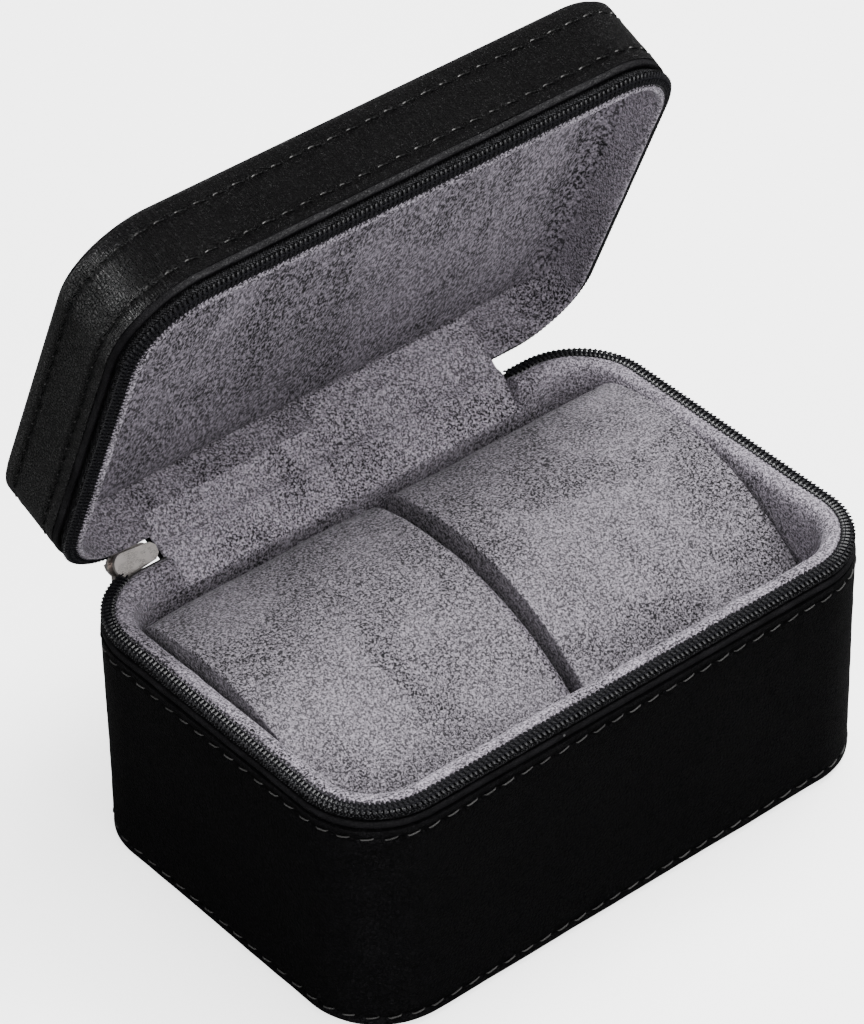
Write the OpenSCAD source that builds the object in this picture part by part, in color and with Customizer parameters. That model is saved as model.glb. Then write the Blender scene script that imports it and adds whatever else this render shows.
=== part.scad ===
// Zip-round travel case for two watches, lid standing open.
// X runs along the hinge, Y towards the hinge, Z up; the origin is the centre of the underside.

/* [Case] */
// Length of the leather outline along the hinge
case_l = 132; // [126:1:150]
// Width of the leather outline from front to back
case_w = 89; // [84:1:104]
// Plan radius of the outer corners
corner_r = 17; // [15:0.5:20]
// Height of the leather wall of the base
base_h = 51.5; // [47:0.5:62]
// Height of the leather wall of the lid
lid_h = 18; // [17:0.5:26]
// Gap between the two leather edges when the zip is closed
zip_zone = 6.6; // [6.5:0.1:7.4]
// Angle by which the lid stands open
open_angle = 67.5; // [60:0.5:80]

/* [Walls] */
// Thickness of the leather on the side walls
leather_t = 1.8; // [1.6:0.1:2.2]
// Thickness of the bottom and top leather panels
panel_t = 1.4; // [1:0.1:2]
// Inset of the bottom and top panels from the leather face
panel_inset = 1; // [0.6:0.1:1.4]
// Height of the panel edge that shows below the side wrap
panel_edge = 0.6; // [0.4:0.1:0.9]
// Radius of the outer edge where a wrap turns under
turn_r = 1; // [0.6:0.1:1.4]
// Thickness of the board in the base walls
base_board_t = 1.6; // [1.2:0.1:2]
// Thickness of the board in the lid walls
lid_board_t = 1.4; // [1:0.1:1.8]
// Thickness of the board in the floor of the base and the top of the lid
floor_board_t = 2; // [1.5:0.1:3]
// Thickness of the foam on the base walls
wall_foam_t = 2.8; // [2.4:0.1:3.2]
// Thickness of the foam on the floor of the base
floor_foam_t = 2; // [1:0.1:3]
// Thickness of the foam in the lid
lid_foam_t = 6.8; // [5:0.1:7]
// Thickness of the suede lining
suede_t = 0.8; // [0.6:0.1:1]

/* [Rims] */
// Height of the base rim above its leather edge
base_rim_rise = 3; // [2.8:0.1:3.1]
// Height of the lid rim beyond its leather edge
lid_rim_rise = 3.3; // [3:0.1:3.4]
// Rounding of the inner top edge of the base rim
base_rim_r = 2.2; // [1.4:0.1:2.4]
// Rounding of the inner edge of the lid rim
lid_rim_r = 1.2; // [0.9:0.1:1.3]
// Height of the rolled leather edge beside the zip
roll_h = 1.6; // [1.3:0.1:2.2]

/* [Zip] */
// Thickness of the woven tape
tape_t = 0.6; // [0.4:0.1:0.8]
// Depth of the tape hem hidden behind the leather
tape_hem = 7; // [5:0.5:9]
// Height of a row of coil teeth
coil_h = 2.4; // [2:0.1:2.6]
// How far the teeth stand proud of the leather face
coil_proud = 0.8; // [0.4:0.1:1]
// Length of the slider
slider_l = 10; // [9:0.5:12]
// Width of the slider at its shoulders
slider_w = 4.8; // [4.4:0.1:4.9]
// Width of the slider at its tail
slider_tail_w = 3.6; // [3:0.1:4]
// Thickness over both plates of the slider
slider_t = 3.8; // [3.4:0.1:4]
// Thickness of one slider plate
plate_t = 0.9; // [0.7:0.1:1]
// Radius of the bar that carries the pull
bar_r = 0.7; // [0.6:0.05:0.8]
// Distance of the slider behind the leather of the back wall
slider_out = 1.8; // [1.6:0.1:2]
// Drop of the slider below the plane where the two rims meet
slider_sink = 1.05; // [0.9:0.05:1.2]
// Gap between the outer plate and the eye of the pull
bar_lift = 0.3; // [0.2:0.05:0.5]
// Radial running clearance of the pull on its bar
bar_clearance = 0.08; // [0.05:0.01:0.1]
// Length of the pull below its bar
pull_l = 20; // [14:1:26]
// Width of the pull
pull_w = 5; // [4:0.25:6]
// Thickness of the pull
pull_t = 1.4; // [1.2:0.1:1.6]

/* [Hinge] */
// Distance from each end of the case to the flexible stretch without zip
zip_return = 23; // [22:0.5:28]
// Distance of the hinge line behind the leather of the back wall
hinge_out = 0.8; // [0.7:0.1:1.1]
// Drop of the hinge line below the plane where the two rims meet
hinge_sink = 3.05; // [2.85:0.05:3.25]
// Thickness of the leather spine
spine_t = 1.2; // [1:0.1:1.4]
// Drop of the back rim where the hinge lining leaves the wall
hinge_drop = 5.8; // [4:0.2:7]
// Thickness of the sewn-down flap on the hinge lining
flap_t = 0.5; // [0.4:0.1:0.7]

/* [Inside] */
// Thickness of the board in the divider
divider_board_t = 1.4; // [1:0.1:2]
// Height of the divider below the rim
divider_drop = 4.5; // [3:0.5:12]
// Clearance between a pillow and what stands beside it
pillow_clearance = 0.7; // [0.6:0.1:1]
// Gap for a strap in front of and behind each pillow
strap_gap = 4.5; // [4.4:0.1:5.5]
// Height of the pillow crest above the base rim
crest_rise = 1.6; // [0:0.1:2.5]
// Distance of the pillow crest behind the middle of the case
crest_back = 12; // [6:1:16]
// Drop of the arched top of a pillow from its crest to its front
arch_drop = 22.7; // [16:0.1:24]
// Radius of the long edges of a pillow
pillow_edge_r = 9; // [6:0.5:10]
// Radius of the short edges of a pillow
pillow_end_r = 2.6; // [2:0.1:3.2]
// Swell of a pillow towards its middle
swell = 1; // [0.5:0.1:1.4]
// Thickness of the padded cover of a pillow
cover_t = 1.5; // [1.2:0.1:2]

/* [Hidden] */
$fn = 96;

// Small overlap that lets a cut run clear of a face
cut = 1;
// Colours
leather_black = [0.045, 0.045, 0.05];
suede_grey = [0.47, 0.46, 0.49];
foam_white = [0.85, 0.84, 0.8];
board_brown = [0.55, 0.47, 0.36];
steel = [0.72, 0.71, 0.69];

// Depths behind the leather face, all positive
tape_out = leather_t - tape_t;
base_lining_out = leather_t + base_board_t + wall_foam_t;
base_wall = base_lining_out + suede_t;
lid_lining_out = leather_t + lid_board_t;
lid_wall = lid_lining_out + suede_t;

// Heights
base_rim = base_h + base_rim_rise;
lid_edge_z = base_h + zip_zone;
closed_h = lid_edge_z + lid_h;
lid_rim = lid_h + lid_rim_rise;
floor_top = panel_t + floor_board_t;
floor_foam_top = floor_top + floor_foam_t;
base_floor = floor_foam_top + suede_t;
lid_foam_top = floor_top + lid_foam_t;
lid_ceiling = lid_foam_top + suede_t;

// Hinge line
back_y = case_w / 2;
hinge_y = back_y + hinge_out;
zip_plane = (base_rim + closed_h - lid_rim) / 2;
hinge_z = zip_plane - hinge_sink;

// Stretch of the back wall without zip
hinge_half = case_l / 2 - zip_return;
hinge_l = 2 * hinge_half;
zip_clearance = 0.4;
teeth_clearance = 0.2;
slider_x = -hinge_half - slider_l / 2 - zip_clearance;
slider_y = back_y + slider_out;
slider_z = zip_plane - slider_sink;
zip_left = slider_x - slider_l / 2 - teeth_clearance;
zip_right = hinge_half + zip_clearance;

// A closed-lid point [y, z] carried to where the open lid puts it
function opened(p) = [
    hinge_y + (p[0] - hinge_y) * cos(open_angle) + (p[1] - hinge_z) * sin(open_angle),
    hinge_z - (p[0] - hinge_y) * sin(open_angle) + (p[1] - hinge_z) * cos(open_angle)];

// Points on an arc about c, from angle a0 to a1
function arc(c, r, a0, a1, n) =
    [for (i = [0:n]) c + r * [cos(a0 + (a1 - a0) * i / n), sin(a0 + (a1 - a0) * i / n)]];

module rounded_rect(inset) {
    l = case_l - 2 * inset;
    w = case_w - 2 * inset;
    r = corner_r - inset;
    square([l - 2 * r, w], center = true);
    square([l, w - 2 * r], center = true);
    for (x = [-1, 1], y = [-1, 1])
        translate([x * (l / 2 - r), y * (w / 2 - r)]) circle(r);
}

// Slab of the case outline between two heights
module slab(inset, z0, z1) {
    translate([0, 0, z0]) linear_extrude(z1 - z0) rounded_rect(inset);
}

// Sweeps a section round the case outline: x is the distance outside the leather face, y the height
module round_case() {
    half_l = case_l / 2 - corner_r;
    half_w = case_w / 2 - corner_r;
    for (side = [0, 1]) mirror([0, side, 0])
        translate([-half_l, half_w, 0]) rotate([90, 0, 90])
            linear_extrude(2 * half_l) translate([corner_r, 0]) children();
    for (side = [0, 1]) mirror([side, 0, 0])
        translate([half_l, half_w, 0]) rotate([90, 0, 0])
            linear_extrude(2 * half_w) translate([corner_r, 0]) children();
    for (x = [0, 1], y = [0, 1]) mirror([x, 0, 0]) mirror([0, y, 0])
        translate([half_l, half_w, 0])
            rotate_extrude(angle = 90) translate([corner_r, 0]) children();
}

// Rectangle of a section between two depths and two heights
module band(depth0, depth1, z0, z1) {
    translate([-depth1, z0]) square([depth1 - depth0, z1 - z0]);
}

// Box that removes the back wall between two lengths, above a height
module back_cut(x0, x1, z0, z1) {
    translate([x0, back_y - corner_r, z0]) cube([x1 - x0, corner_r + 2 * cut, z1 - z0]);
}

// Carries a piece drawn with its rim upwards to the open lid
module as_lid() {
    translate([0, hinge_y, hinge_z]) rotate([-open_angle, 0, 0])
        translate([0, -hinge_y, closed_h - hinge_z]) mirror([0, 0, 1]) children();
}

// Quarter round of radius r whose flat sides lie at a depth and a height
module quarter(depth, z, r, up) {
    intersection() {
        translate([-depth, z]) circle(r);
        if (up) band(depth, depth + r, z, z + r);
        else band(depth - r, depth, z - r, z);
    }
}

// Wrap section: turned under at the foot, rebated for the tape at the top
module wrap_section(edge) {
    difference() {
        union() {
            band(0, leather_t, panel_edge + turn_r, edge - roll_h);
            band(turn_r, leather_t, panel_edge, edge - roll_h);
            quarter(turn_r, panel_edge + turn_r, turn_r, false);
        }
        band(tape_out, leather_t + cut, edge - tape_hem, edge + cut);
    }
}

// Rolled edge: a half round on a square foot
module roll_section(edge) {
    band(0, tape_out, edge - roll_h, edge - tape_out / 2);
    translate([-tape_out / 2, edge - tape_out / 2]) circle(tape_out / 2);
}

// Filled inner wall of a rim with its inner corner rounded, or square where r is 0
module rim_fill(depth, rim, r, foot) {
    band(leather_t, depth - r, foot, rim);
    band(leather_t, depth, foot, rim - r);
    if (r > 0) quarter(depth - r, rim - r, r, true);
}

// Suede skin that covers a rim and its inner wall, over a core with its own rounding
module rim_skin(depth, rim, r, core_r, foot) {
    difference() {
        rim_fill(depth, rim, r, foot);
        rim_fill(depth - suede_t, rim - suede_t, core_r, foot - cut);
    }
}

// Line of the hinge lining on the base, inner face, as [y, z]
slope_rise = 2.8;
slope_foot = [back_y - base_wall, base_rim - hinge_drop];
slope_head = [back_y - suede_t / 4, hinge_z + slope_rise];
slope_dir = (slope_head - slope_foot) / norm(slope_head - slope_foot);
slope_out = [slope_dir[1], -slope_dir[0]];
// The same line on the lid, for the closed lid
lid_slope_rise = 1;
lid_head_rise = 1.1;
lid_slope_foot = [back_y - lid_wall, lid_edge_z + lid_slope_rise];
lid_slope_head = [back_y - leather_t, hinge_z + lid_head_rise];
lid_slope_dir = (lid_slope_head - lid_slope_foot) / norm(lid_slope_head - lid_slope_foot);
lid_slope_out = [-lid_slope_dir[1], lid_slope_dir[0]];

// How far the cuts along the slopes run past the walls
slope_reach = 4;

// Removes what stands above the hinge slope of the base
module base_hinge_cut() {
    translate([-hinge_half, 0, 0]) rotate([90, 0, 90]) linear_extrude(hinge_l)
        polygon([slope_foot, slope_foot + suede_t * slope_out,
                 slope_head + suede_t * slope_out + slope_reach * slope_dir,
                 slope_head + [-3 * slope_reach, slope_reach], slope_foot - [slope_reach, 0]]);
}

// Removes what stands beyond the hinge slope of the lid, drawn rim upwards
module lid_hinge_cut() {
    translate([-hinge_half, 0, closed_h]) mirror([0, 0, 1])
        rotate([90, 0, 90]) linear_extrude(hinge_l)
            polygon([lid_slope_foot, lid_slope_foot + suede_t * lid_slope_out,
                     lid_slope_head + suede_t * lid_slope_out + slope_reach * lid_slope_dir,
                     lid_slope_head - [3 * slope_reach, slope_reach], lid_slope_foot - [slope_reach, 0]]);
}

// Room that the slider needs in the lid rim as the lid turns, drawn rim upwards
slider_sweep = 0.6;
module slider_room() {
    back_cut(zip_left, -hinge_half, lid_h - slider_sweep, lid_rim + cut);
}

// Shells

module base_shell() {
    color(board_brown) difference() {
        slab(leather_t, panel_t, base_rim - suede_t);
        slab(leather_t + base_board_t, floor_top, base_rim + cut);
        base_hinge_cut();
    }
}

module lid_shell() {
    color(board_brown) as_lid() difference() {
        slab(leather_t, panel_t, lid_rim - suede_t);
        slab(leather_t + lid_board_t, floor_top, lid_rim + cut);
        lid_hinge_cut();
        slider_room();
    }
}

// Leather

module base_leather_wrap() {
    color(leather_black) round_case() wrap_section(base_h);
}

module lid_leather_wrap() {
    color(leather_black) as_lid() round_case() wrap_section(lid_h);
}

module base_bottom_panel() {
    color(leather_black) {
        slab(leather_t, 0, panel_t);
        slab(panel_inset, 0, panel_edge);
    }
}

module lid_top_panel() {
    color(leather_black) as_lid() {
        slab(leather_t, 0, panel_t);
        slab(panel_inset, 0, panel_edge);
    }
}

module base_edge_roll() {
    color(leather_black) difference() {
        round_case() roll_section(base_h);
        back_cut(-hinge_half, hinge_half, base_h - roll_h, base_h + cut);
    }
}

module lid_edge_roll() {
    color(leather_black) as_lid() difference() {
        round_case() roll_section(lid_h);
        back_cut(-hinge_half, hinge_half, lid_h - roll_h, lid_h + cut);
    }
}

// Zip

module zip_tape(edge, rim) {
    difference() {
        round_case() band(tape_out, leather_t, edge - tape_hem, rim - coil_h);
        back_cut(zip_left, zip_right, edge, rim);
        back_cut(-hinge_half, hinge_half, edge - roll_h, rim);
    }
}

module zip_teeth(rim) {
    difference() {
        round_case() band(-coil_proud, leather_t, rim - coil_h, rim);
        back_cut(zip_left, zip_right, rim - coil_h - cut, rim + cut);
    }
}

// Level in the lower channel of the slider up to which it is filled, and the height filled
channel_y = -1.2;
channel_h = 0.8;

// End of the tape that rises into the lower channel of the slider
module tape_end() {
    up = [sin(open_angle / 2), cos(open_angle / 2)];
    out = [up[1], -up[0]] * tape_t / 2;
    head = [slider_y, slider_z] + channel_y * up;
    hinge_strip([[back_y - leather_t, base_h], head - out, head + out, [back_y - tape_out / 2, base_h]],
                zip_left, -hinge_half - zip_clearance);
}

// Teeth held between the plates of the slider
module teeth_end() {
    joined = teeth_clearance + cut / 2;
    at_slider() translate([-slider_l / 2 - joined, channel_y - channel_h, plate_t - slider_t / 2])
        cube([slider_l + joined, channel_h, slider_t - 2 * plate_t]);
}

// Tape of the base with its end in the slider
module base_tape() {
    zip_tape(base_h, base_rim);
    tape_end();
}

module base_zip_tape() {
    color("#1b1b1d") base_tape();
}

module lid_zip_tape() {
    color("#1b1b1d") as_lid() zip_tape(lid_h, lid_rim);
}

module base_zip_teeth() {
    color("#101012") difference() {
        union() {
            zip_teeth(base_rim);
            teeth_end();
        }
        base_tape();
    }
}

module lid_zip_teeth() {
    color("#101012") as_lid() zip_teeth(lid_rim);
}

// Outline of a slider plate: wide shoulders towards the teeth, narrow tail towards the hinge
module plate_outline() {
    shoulder = slider_w / 2;
    tail = slider_tail_w / 2;
    chamfer = 1;
    translate([-slider_l / 2 + shoulder, 0]) circle(shoulder);
    polygon([[-slider_l / 2 + shoulder, shoulder], [slider_l / 2 - chamfer, tail],
             [slider_l / 2, tail - chamfer], [slider_l / 2, chamfer - tail],
             [slider_l / 2 - chamfer, -tail], [-slider_l / 2 + shoulder, -shoulder]]);
}

// Places a piece drawn in the plane of the slider plates, y up its width, z out of the case
module at_slider() {
    translate([slider_x, slider_y, slider_z]) rotate([-open_angle / 2, 0, 0])
        rotate([-90, 0, 0]) mirror([0, 1, 0]) children();
}

// Bar of the slider, in the case frame
bar_out = slider_t / 2 + bar_lift + 2 * bar_r + bar_clearance;
bar_y = slider_y + bar_out * cos(open_angle / 2);
bar_z = slider_z - bar_out * sin(open_angle / 2);
pull_play = 0.3;
bar_l = pull_w + 2 * pull_play;
post_l = 1.1;
wedge_r = 1;

module zip_slider() {
    color(steel) {
        at_slider() for (z = [-slider_t / 2, slider_t / 2 - plate_t])
            translate([0, 0, z]) linear_extrude(plate_t) plate_outline();
        // Wedge that parts the teeth
        at_slider() translate([-slider_l / 2 + slider_w / 2, 0, -slider_t / 2])
            linear_extrude(slider_t) circle(wedge_r);
        // Posts of the bridge
        at_slider() for (s = [-1, 1])
            translate([s * (bar_l + post_l) / 2 - post_l / 2, -bar_r, slider_t / 2 - plate_t])
                cube([post_l, 2 * bar_r, bar_out - slider_t / 2 + plate_t + bar_r]);
        at_slider() translate([-(bar_l + post_l) / 2, 0, bar_out]) rotate([0, 90, 0])
            cylinder(r = bar_r, h = bar_l + post_l);
    }
}

module zip_pull() {
    eye_r = 2 * bar_r + bar_clearance;
    color(steel) translate([slider_x, bar_y, bar_z]) difference() {
        union() {
            rotate([0, 90, 0]) cylinder(r = eye_r, h = pull_w, center = true);
            translate([-pull_w / 2, -pull_t / 2, -pull_l + pull_w / 2])
                cube([pull_w, pull_t, pull_l - pull_w / 2]);
            translate([0, pull_t / 2, -pull_l + pull_w / 2]) rotate([90, 0, 0])
                cylinder(r = pull_w / 2, h = pull_t);
        }
        rotate([0, 90, 0]) cylinder(r = bar_r + bar_clearance, h = pull_w + cut, center = true);
        translate([0, pull_t, -pull_l + pull_w / 2]) rotate([90, 0, 0])
            cylinder(r = pull_w / 5, h = 2 * pull_t);
    }
}

// Padding

module base_wall_padding() {
    color(foam_white) difference() {
        round_case() difference() {
            rim_fill(base_lining_out, base_rim - suede_t, base_rim_r - suede_t, floor_top);
            band(0, leather_t + base_board_t, floor_top - cut, base_rim + cut);
        }
        base_hinge_cut();
    }
}

module base_floor_padding() {
    color(foam_white) slab(base_lining_out, floor_top, floor_foam_top);
}

module lid_padding() {
    color(foam_white) as_lid() slab(lid_lining_out, floor_top, lid_foam_top);
}

// Lining

module base_wall_lining() {
    color(suede_grey) difference() {
        round_case() rim_skin(base_wall, base_rim, base_rim_r, base_rim_r - suede_t, floor_foam_top);
        base_hinge_cut();
    }
}

module base_floor_lining() {
    color(suede_grey) slab(base_wall, floor_foam_top, base_floor);
}

module lid_wall_lining() {
    color(suede_grey) as_lid() difference() {
        round_case() rim_skin(lid_wall, lid_rim, lid_rim_r, 0, lid_foam_top);
        lid_hinge_cut();
        slider_room();
    }
}

module lid_panel_lining() {
    color(suede_grey) as_lid() slab(lid_wall, lid_foam_top, lid_ceiling);
}

// Half the depth of a pillow, and the radius of its arched top
pillow_half_w = back_y - base_wall - strap_gap;
arch_reach = pillow_half_w + crest_back;
arch_r = (pow(arch_reach, 2) + pow(arch_drop, 2)) / (2 * arch_drop);

// Side outline of the divider: it follows the arch of the pillows a little lower
function arch_z(y, drop) = crest_z - arch_r - drop + sqrt(pow(arch_r, 2) - pow(y - crest_back, 2));
divider_half = back_y - base_wall;
divider_steps = 14;

module divider_side(inset) {
    top = [for (i = [0:divider_steps])
        let (y = (divider_half - inset) * (1 - 2 * i / divider_steps))
            [y, arch_z(y, divider_drop + inset)]];
    polygon(concat([[-divider_half + inset, base_floor + inset], [divider_half - inset, base_floor + inset]],
                   top));
}

module divider_plate(t, inset) {
    translate([-t / 2, 0, 0]) rotate([90, 0, 90]) linear_extrude(t) divider_side(inset);
}

module divider_board() {
    color(board_brown) divider_plate(divider_board_t, suede_t);
}

module divider_lining() {
    color(suede_grey) difference() {
        divider_plate(divider_board_t + 2 * suede_t, 0);
        divider_plate(divider_board_t, suede_t);
    }
}

// Hinge

module hinge_strip(outline, x0, x1) {
    translate([x0, 0, 0]) rotate([90, 0, 90]) linear_extrude(x1 - x0) polygon(outline);
}

spine_foot = [back_y, base_h - roll_h];
spine_knee = [back_y, base_h];
// How far the inner bends of the spine lie past its outer ones
knee_rise = 0.5;
neck_drop = 0.5;

module hinge_leather() {
    inner = [-spine_t, 0];
    color(leather_black) hinge_strip(
        [spine_foot, spine_knee, opened([back_y, lid_edge_z]), opened([back_y, lid_edge_z + roll_h]),
         opened([back_y - spine_t, lid_edge_z + roll_h]), opened([back_y - spine_t, lid_edge_z - neck_drop]),
         spine_knee + inner + [0, knee_rise], spine_foot + inner],
        -hinge_half, hinge_half);
}

module hinge_lining() {
    color(suede_grey) hinge_strip(
        [slope_foot, slope_head, opened(lid_slope_head), opened(lid_slope_foot),
         opened(lid_slope_foot + suede_t * lid_slope_out), opened(lid_slope_head + suede_t * lid_slope_out),
         slope_head + suede_t * slope_out, slope_foot + suede_t * slope_out],
        -hinge_half, hinge_half);
}

// Flap sewn down over the right half of the hinge lining, from the lid panel to the base slope
flap_tail = 1.4;
module hinge_flap() {
    lid_in = [-flap_t, 0];
    lift = flap_t * lid_slope_out;
    tail = flap_tail * slope_dir;
    color(suede_grey) hinge_strip(
        [opened([back_y - lid_wall, closed_h - lid_ceiling]), opened(lid_slope_foot),
         opened(lid_slope_head), slope_head, slope_head - tail,
         slope_head - tail - flap_t * slope_out, slope_head - flap_t * slope_out,
         opened(lid_slope_head - lift), opened(lid_slope_foot - lift),
         opened([back_y - lid_wall, closed_h - lid_ceiling] + lid_in)],
        0, hinge_half);
}

// Pillows

crest_z = base_rim + crest_rise;
pillow_x0 = divider_board_t / 2 + suede_t + pillow_clearance;
pillow_x1 = case_l / 2 - base_wall - pillow_clearance;
pillow_l = pillow_x1 - pillow_x0;
floor_gap = 0.1;
pillow_foot = base_floor + floor_gap;
foot_r = 3;
least_r = 0.3;
core_gap = 0.05;
profile_steps = 9;
end_steps = 4;
mid_steps = 6;

// Closed side profile of a pillow, drawn in by d on every side, as [y, z] points
function pillow_profile(d) =
    let (hw = pillow_half_w - d, r = pillow_edge_r - d, big = arch_r - d, fr = foot_r - min(d, foot_r - least_r),
         c = [crest_back, crest_z - arch_r],
         front = [-hw + r, c[1] + sqrt(pow(big - r, 2) - pow(-hw + r - c[0], 2))],
         back = [hw - r, c[1] + sqrt(pow(big - r, 2) - pow(hw - r - c[0], 2))],
         a_front = atan2(front[1] - c[1], front[0] - c[0]),
         a_back = atan2(back[1] - c[1], back[0] - c[0]))
    concat(
        arc([-hw + fr, pillow_foot + d + fr], fr, 270, 180, 3),
        arc(front, r, 180, a_front, 4),
        arc(c, big, a_front - (a_front - a_back) / profile_steps,
            a_back + (a_front - a_back) / profile_steps, profile_steps - 2),
        arc(back, r, a_back, 0, 4),
        arc([hw - fr, pillow_foot + d + fr], fr, 0, -90, 3));

// Stations along a pillow of length l, with the inset of each: rounded ends and a swelling middle
function stations(l, d) =
    let (r = pillow_end_r, h = l / 2 - d)
    concat(
        [for (i = [0:end_steps]) let (a = 90 * i / end_steps) [-h + r * (1 - cos(a)), r * (1 - sin(a))]],
        [for (i = [1:mid_steps - 1]) [(-1 + 2 * i / mid_steps) * (h - r), 0]],
        [for (i = [0:end_steps]) let (a = 90 * (1 - i / end_steps)) [h - r * (1 - cos(a)), r * (1 - sin(a))]]);

// Closed skin of a pillow, drawn in by d
module pillow_form(d) {
    st = stations(pillow_l, d);
    n = len(pillow_profile(0));
    m = len(st);
    pts = [for (s = st)
        let (in_ = s[1] + d + swell * pow(s[0] / (pillow_l / 2), 2))
            for (p = pillow_profile(in_)) [s[0], p[0], p[1]]];
    side = [for (i = [0:m - 2], j = [0:n - 1])
        let (a = i * n + j, b = i * n + (j + 1) % n, c = a + n, e = b + n)
            each [[a, b, e], [a, e, c]]];
    cap0 = [for (j = [1:n - 2]) [0, j + 1, j]];
    cap1 = [for (j = [1:n - 2]) [(m - 1) * n, (m - 1) * n + j, (m - 1) * n + j + 1]];
    polyhedron(points = pts, faces = concat(side, cap0, cap1), convexity = 4);
}

module pillow_cover() {
    difference() {
        pillow_form(0);
        pillow_form(cover_t);
    }
}

module pillow_core() {
    pillow_form(cover_t + core_gap);
}

module at_pillow(side) {
    translate([side * (pillow_x0 + pillow_x1) / 2, 0, 0]) children();
}

module pillow_left_cover() {
    color(suede_grey) at_pillow(-1) pillow_cover();
}

module pillow_left_core() {
    color(foam_white) at_pillow(-1) pillow_core();
}

module pillow_right_cover() {
    color(suede_grey) at_pillow(1) pillow_cover();
}

module pillow_right_core() {
    color(foam_white) at_pillow(1) pillow_core();
}

base_shell();
base_leather_wrap();
base_bottom_panel();
base_edge_roll();
base_zip_tape();
base_zip_teeth();
base_wall_padding();
base_wall_lining();
base_floor_padding();
base_floor_lining();
divider_board();
divider_lining();
hinge_leather();
hinge_lining();
hinge_flap();
zip_slider();
zip_pull();
lid_shell();
lid_leather_wrap();
lid_top_panel();
lid_edge_roll();
lid_zip_tape();
lid_zip_teeth();
lid_padding();
lid_wall_lining();
lid_panel_lining();
pillow_left_cover();
pillow_left_core();
pillow_right_cover();
pillow_right_core();
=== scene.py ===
"""Zip-round travel case for two watches: leather, zip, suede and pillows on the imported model."""
import logging
from abc import ABC, abstractmethod
from dataclasses import dataclass
from enum import Enum
from typing import Any, Callable

import bmesh
import bpy
import numpy as np
from mathutils import Matrix, Vector


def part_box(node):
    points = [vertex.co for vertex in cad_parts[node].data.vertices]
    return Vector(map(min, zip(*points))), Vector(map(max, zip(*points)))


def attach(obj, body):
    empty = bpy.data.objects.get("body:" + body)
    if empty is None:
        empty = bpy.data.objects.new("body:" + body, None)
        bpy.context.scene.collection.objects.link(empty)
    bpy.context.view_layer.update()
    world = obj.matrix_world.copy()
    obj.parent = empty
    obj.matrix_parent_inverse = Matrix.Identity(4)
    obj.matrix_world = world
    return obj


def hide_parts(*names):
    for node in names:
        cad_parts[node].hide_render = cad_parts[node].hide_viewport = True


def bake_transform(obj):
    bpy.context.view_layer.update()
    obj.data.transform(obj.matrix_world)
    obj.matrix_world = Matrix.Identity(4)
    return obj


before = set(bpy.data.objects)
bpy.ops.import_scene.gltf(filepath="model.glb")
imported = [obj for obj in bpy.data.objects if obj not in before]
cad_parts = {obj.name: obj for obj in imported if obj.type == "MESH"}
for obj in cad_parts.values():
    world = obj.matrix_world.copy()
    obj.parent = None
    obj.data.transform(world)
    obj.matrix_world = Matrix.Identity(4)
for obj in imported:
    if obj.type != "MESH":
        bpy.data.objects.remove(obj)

Array = np.ndarray
Colour = tuple[float, ...]
Pairs = list[tuple[float, float]]
MM = 0.001
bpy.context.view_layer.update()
log = logging.getLogger("travel_case")


# Sizes, the same named values as the part's source, in millimetres


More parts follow.
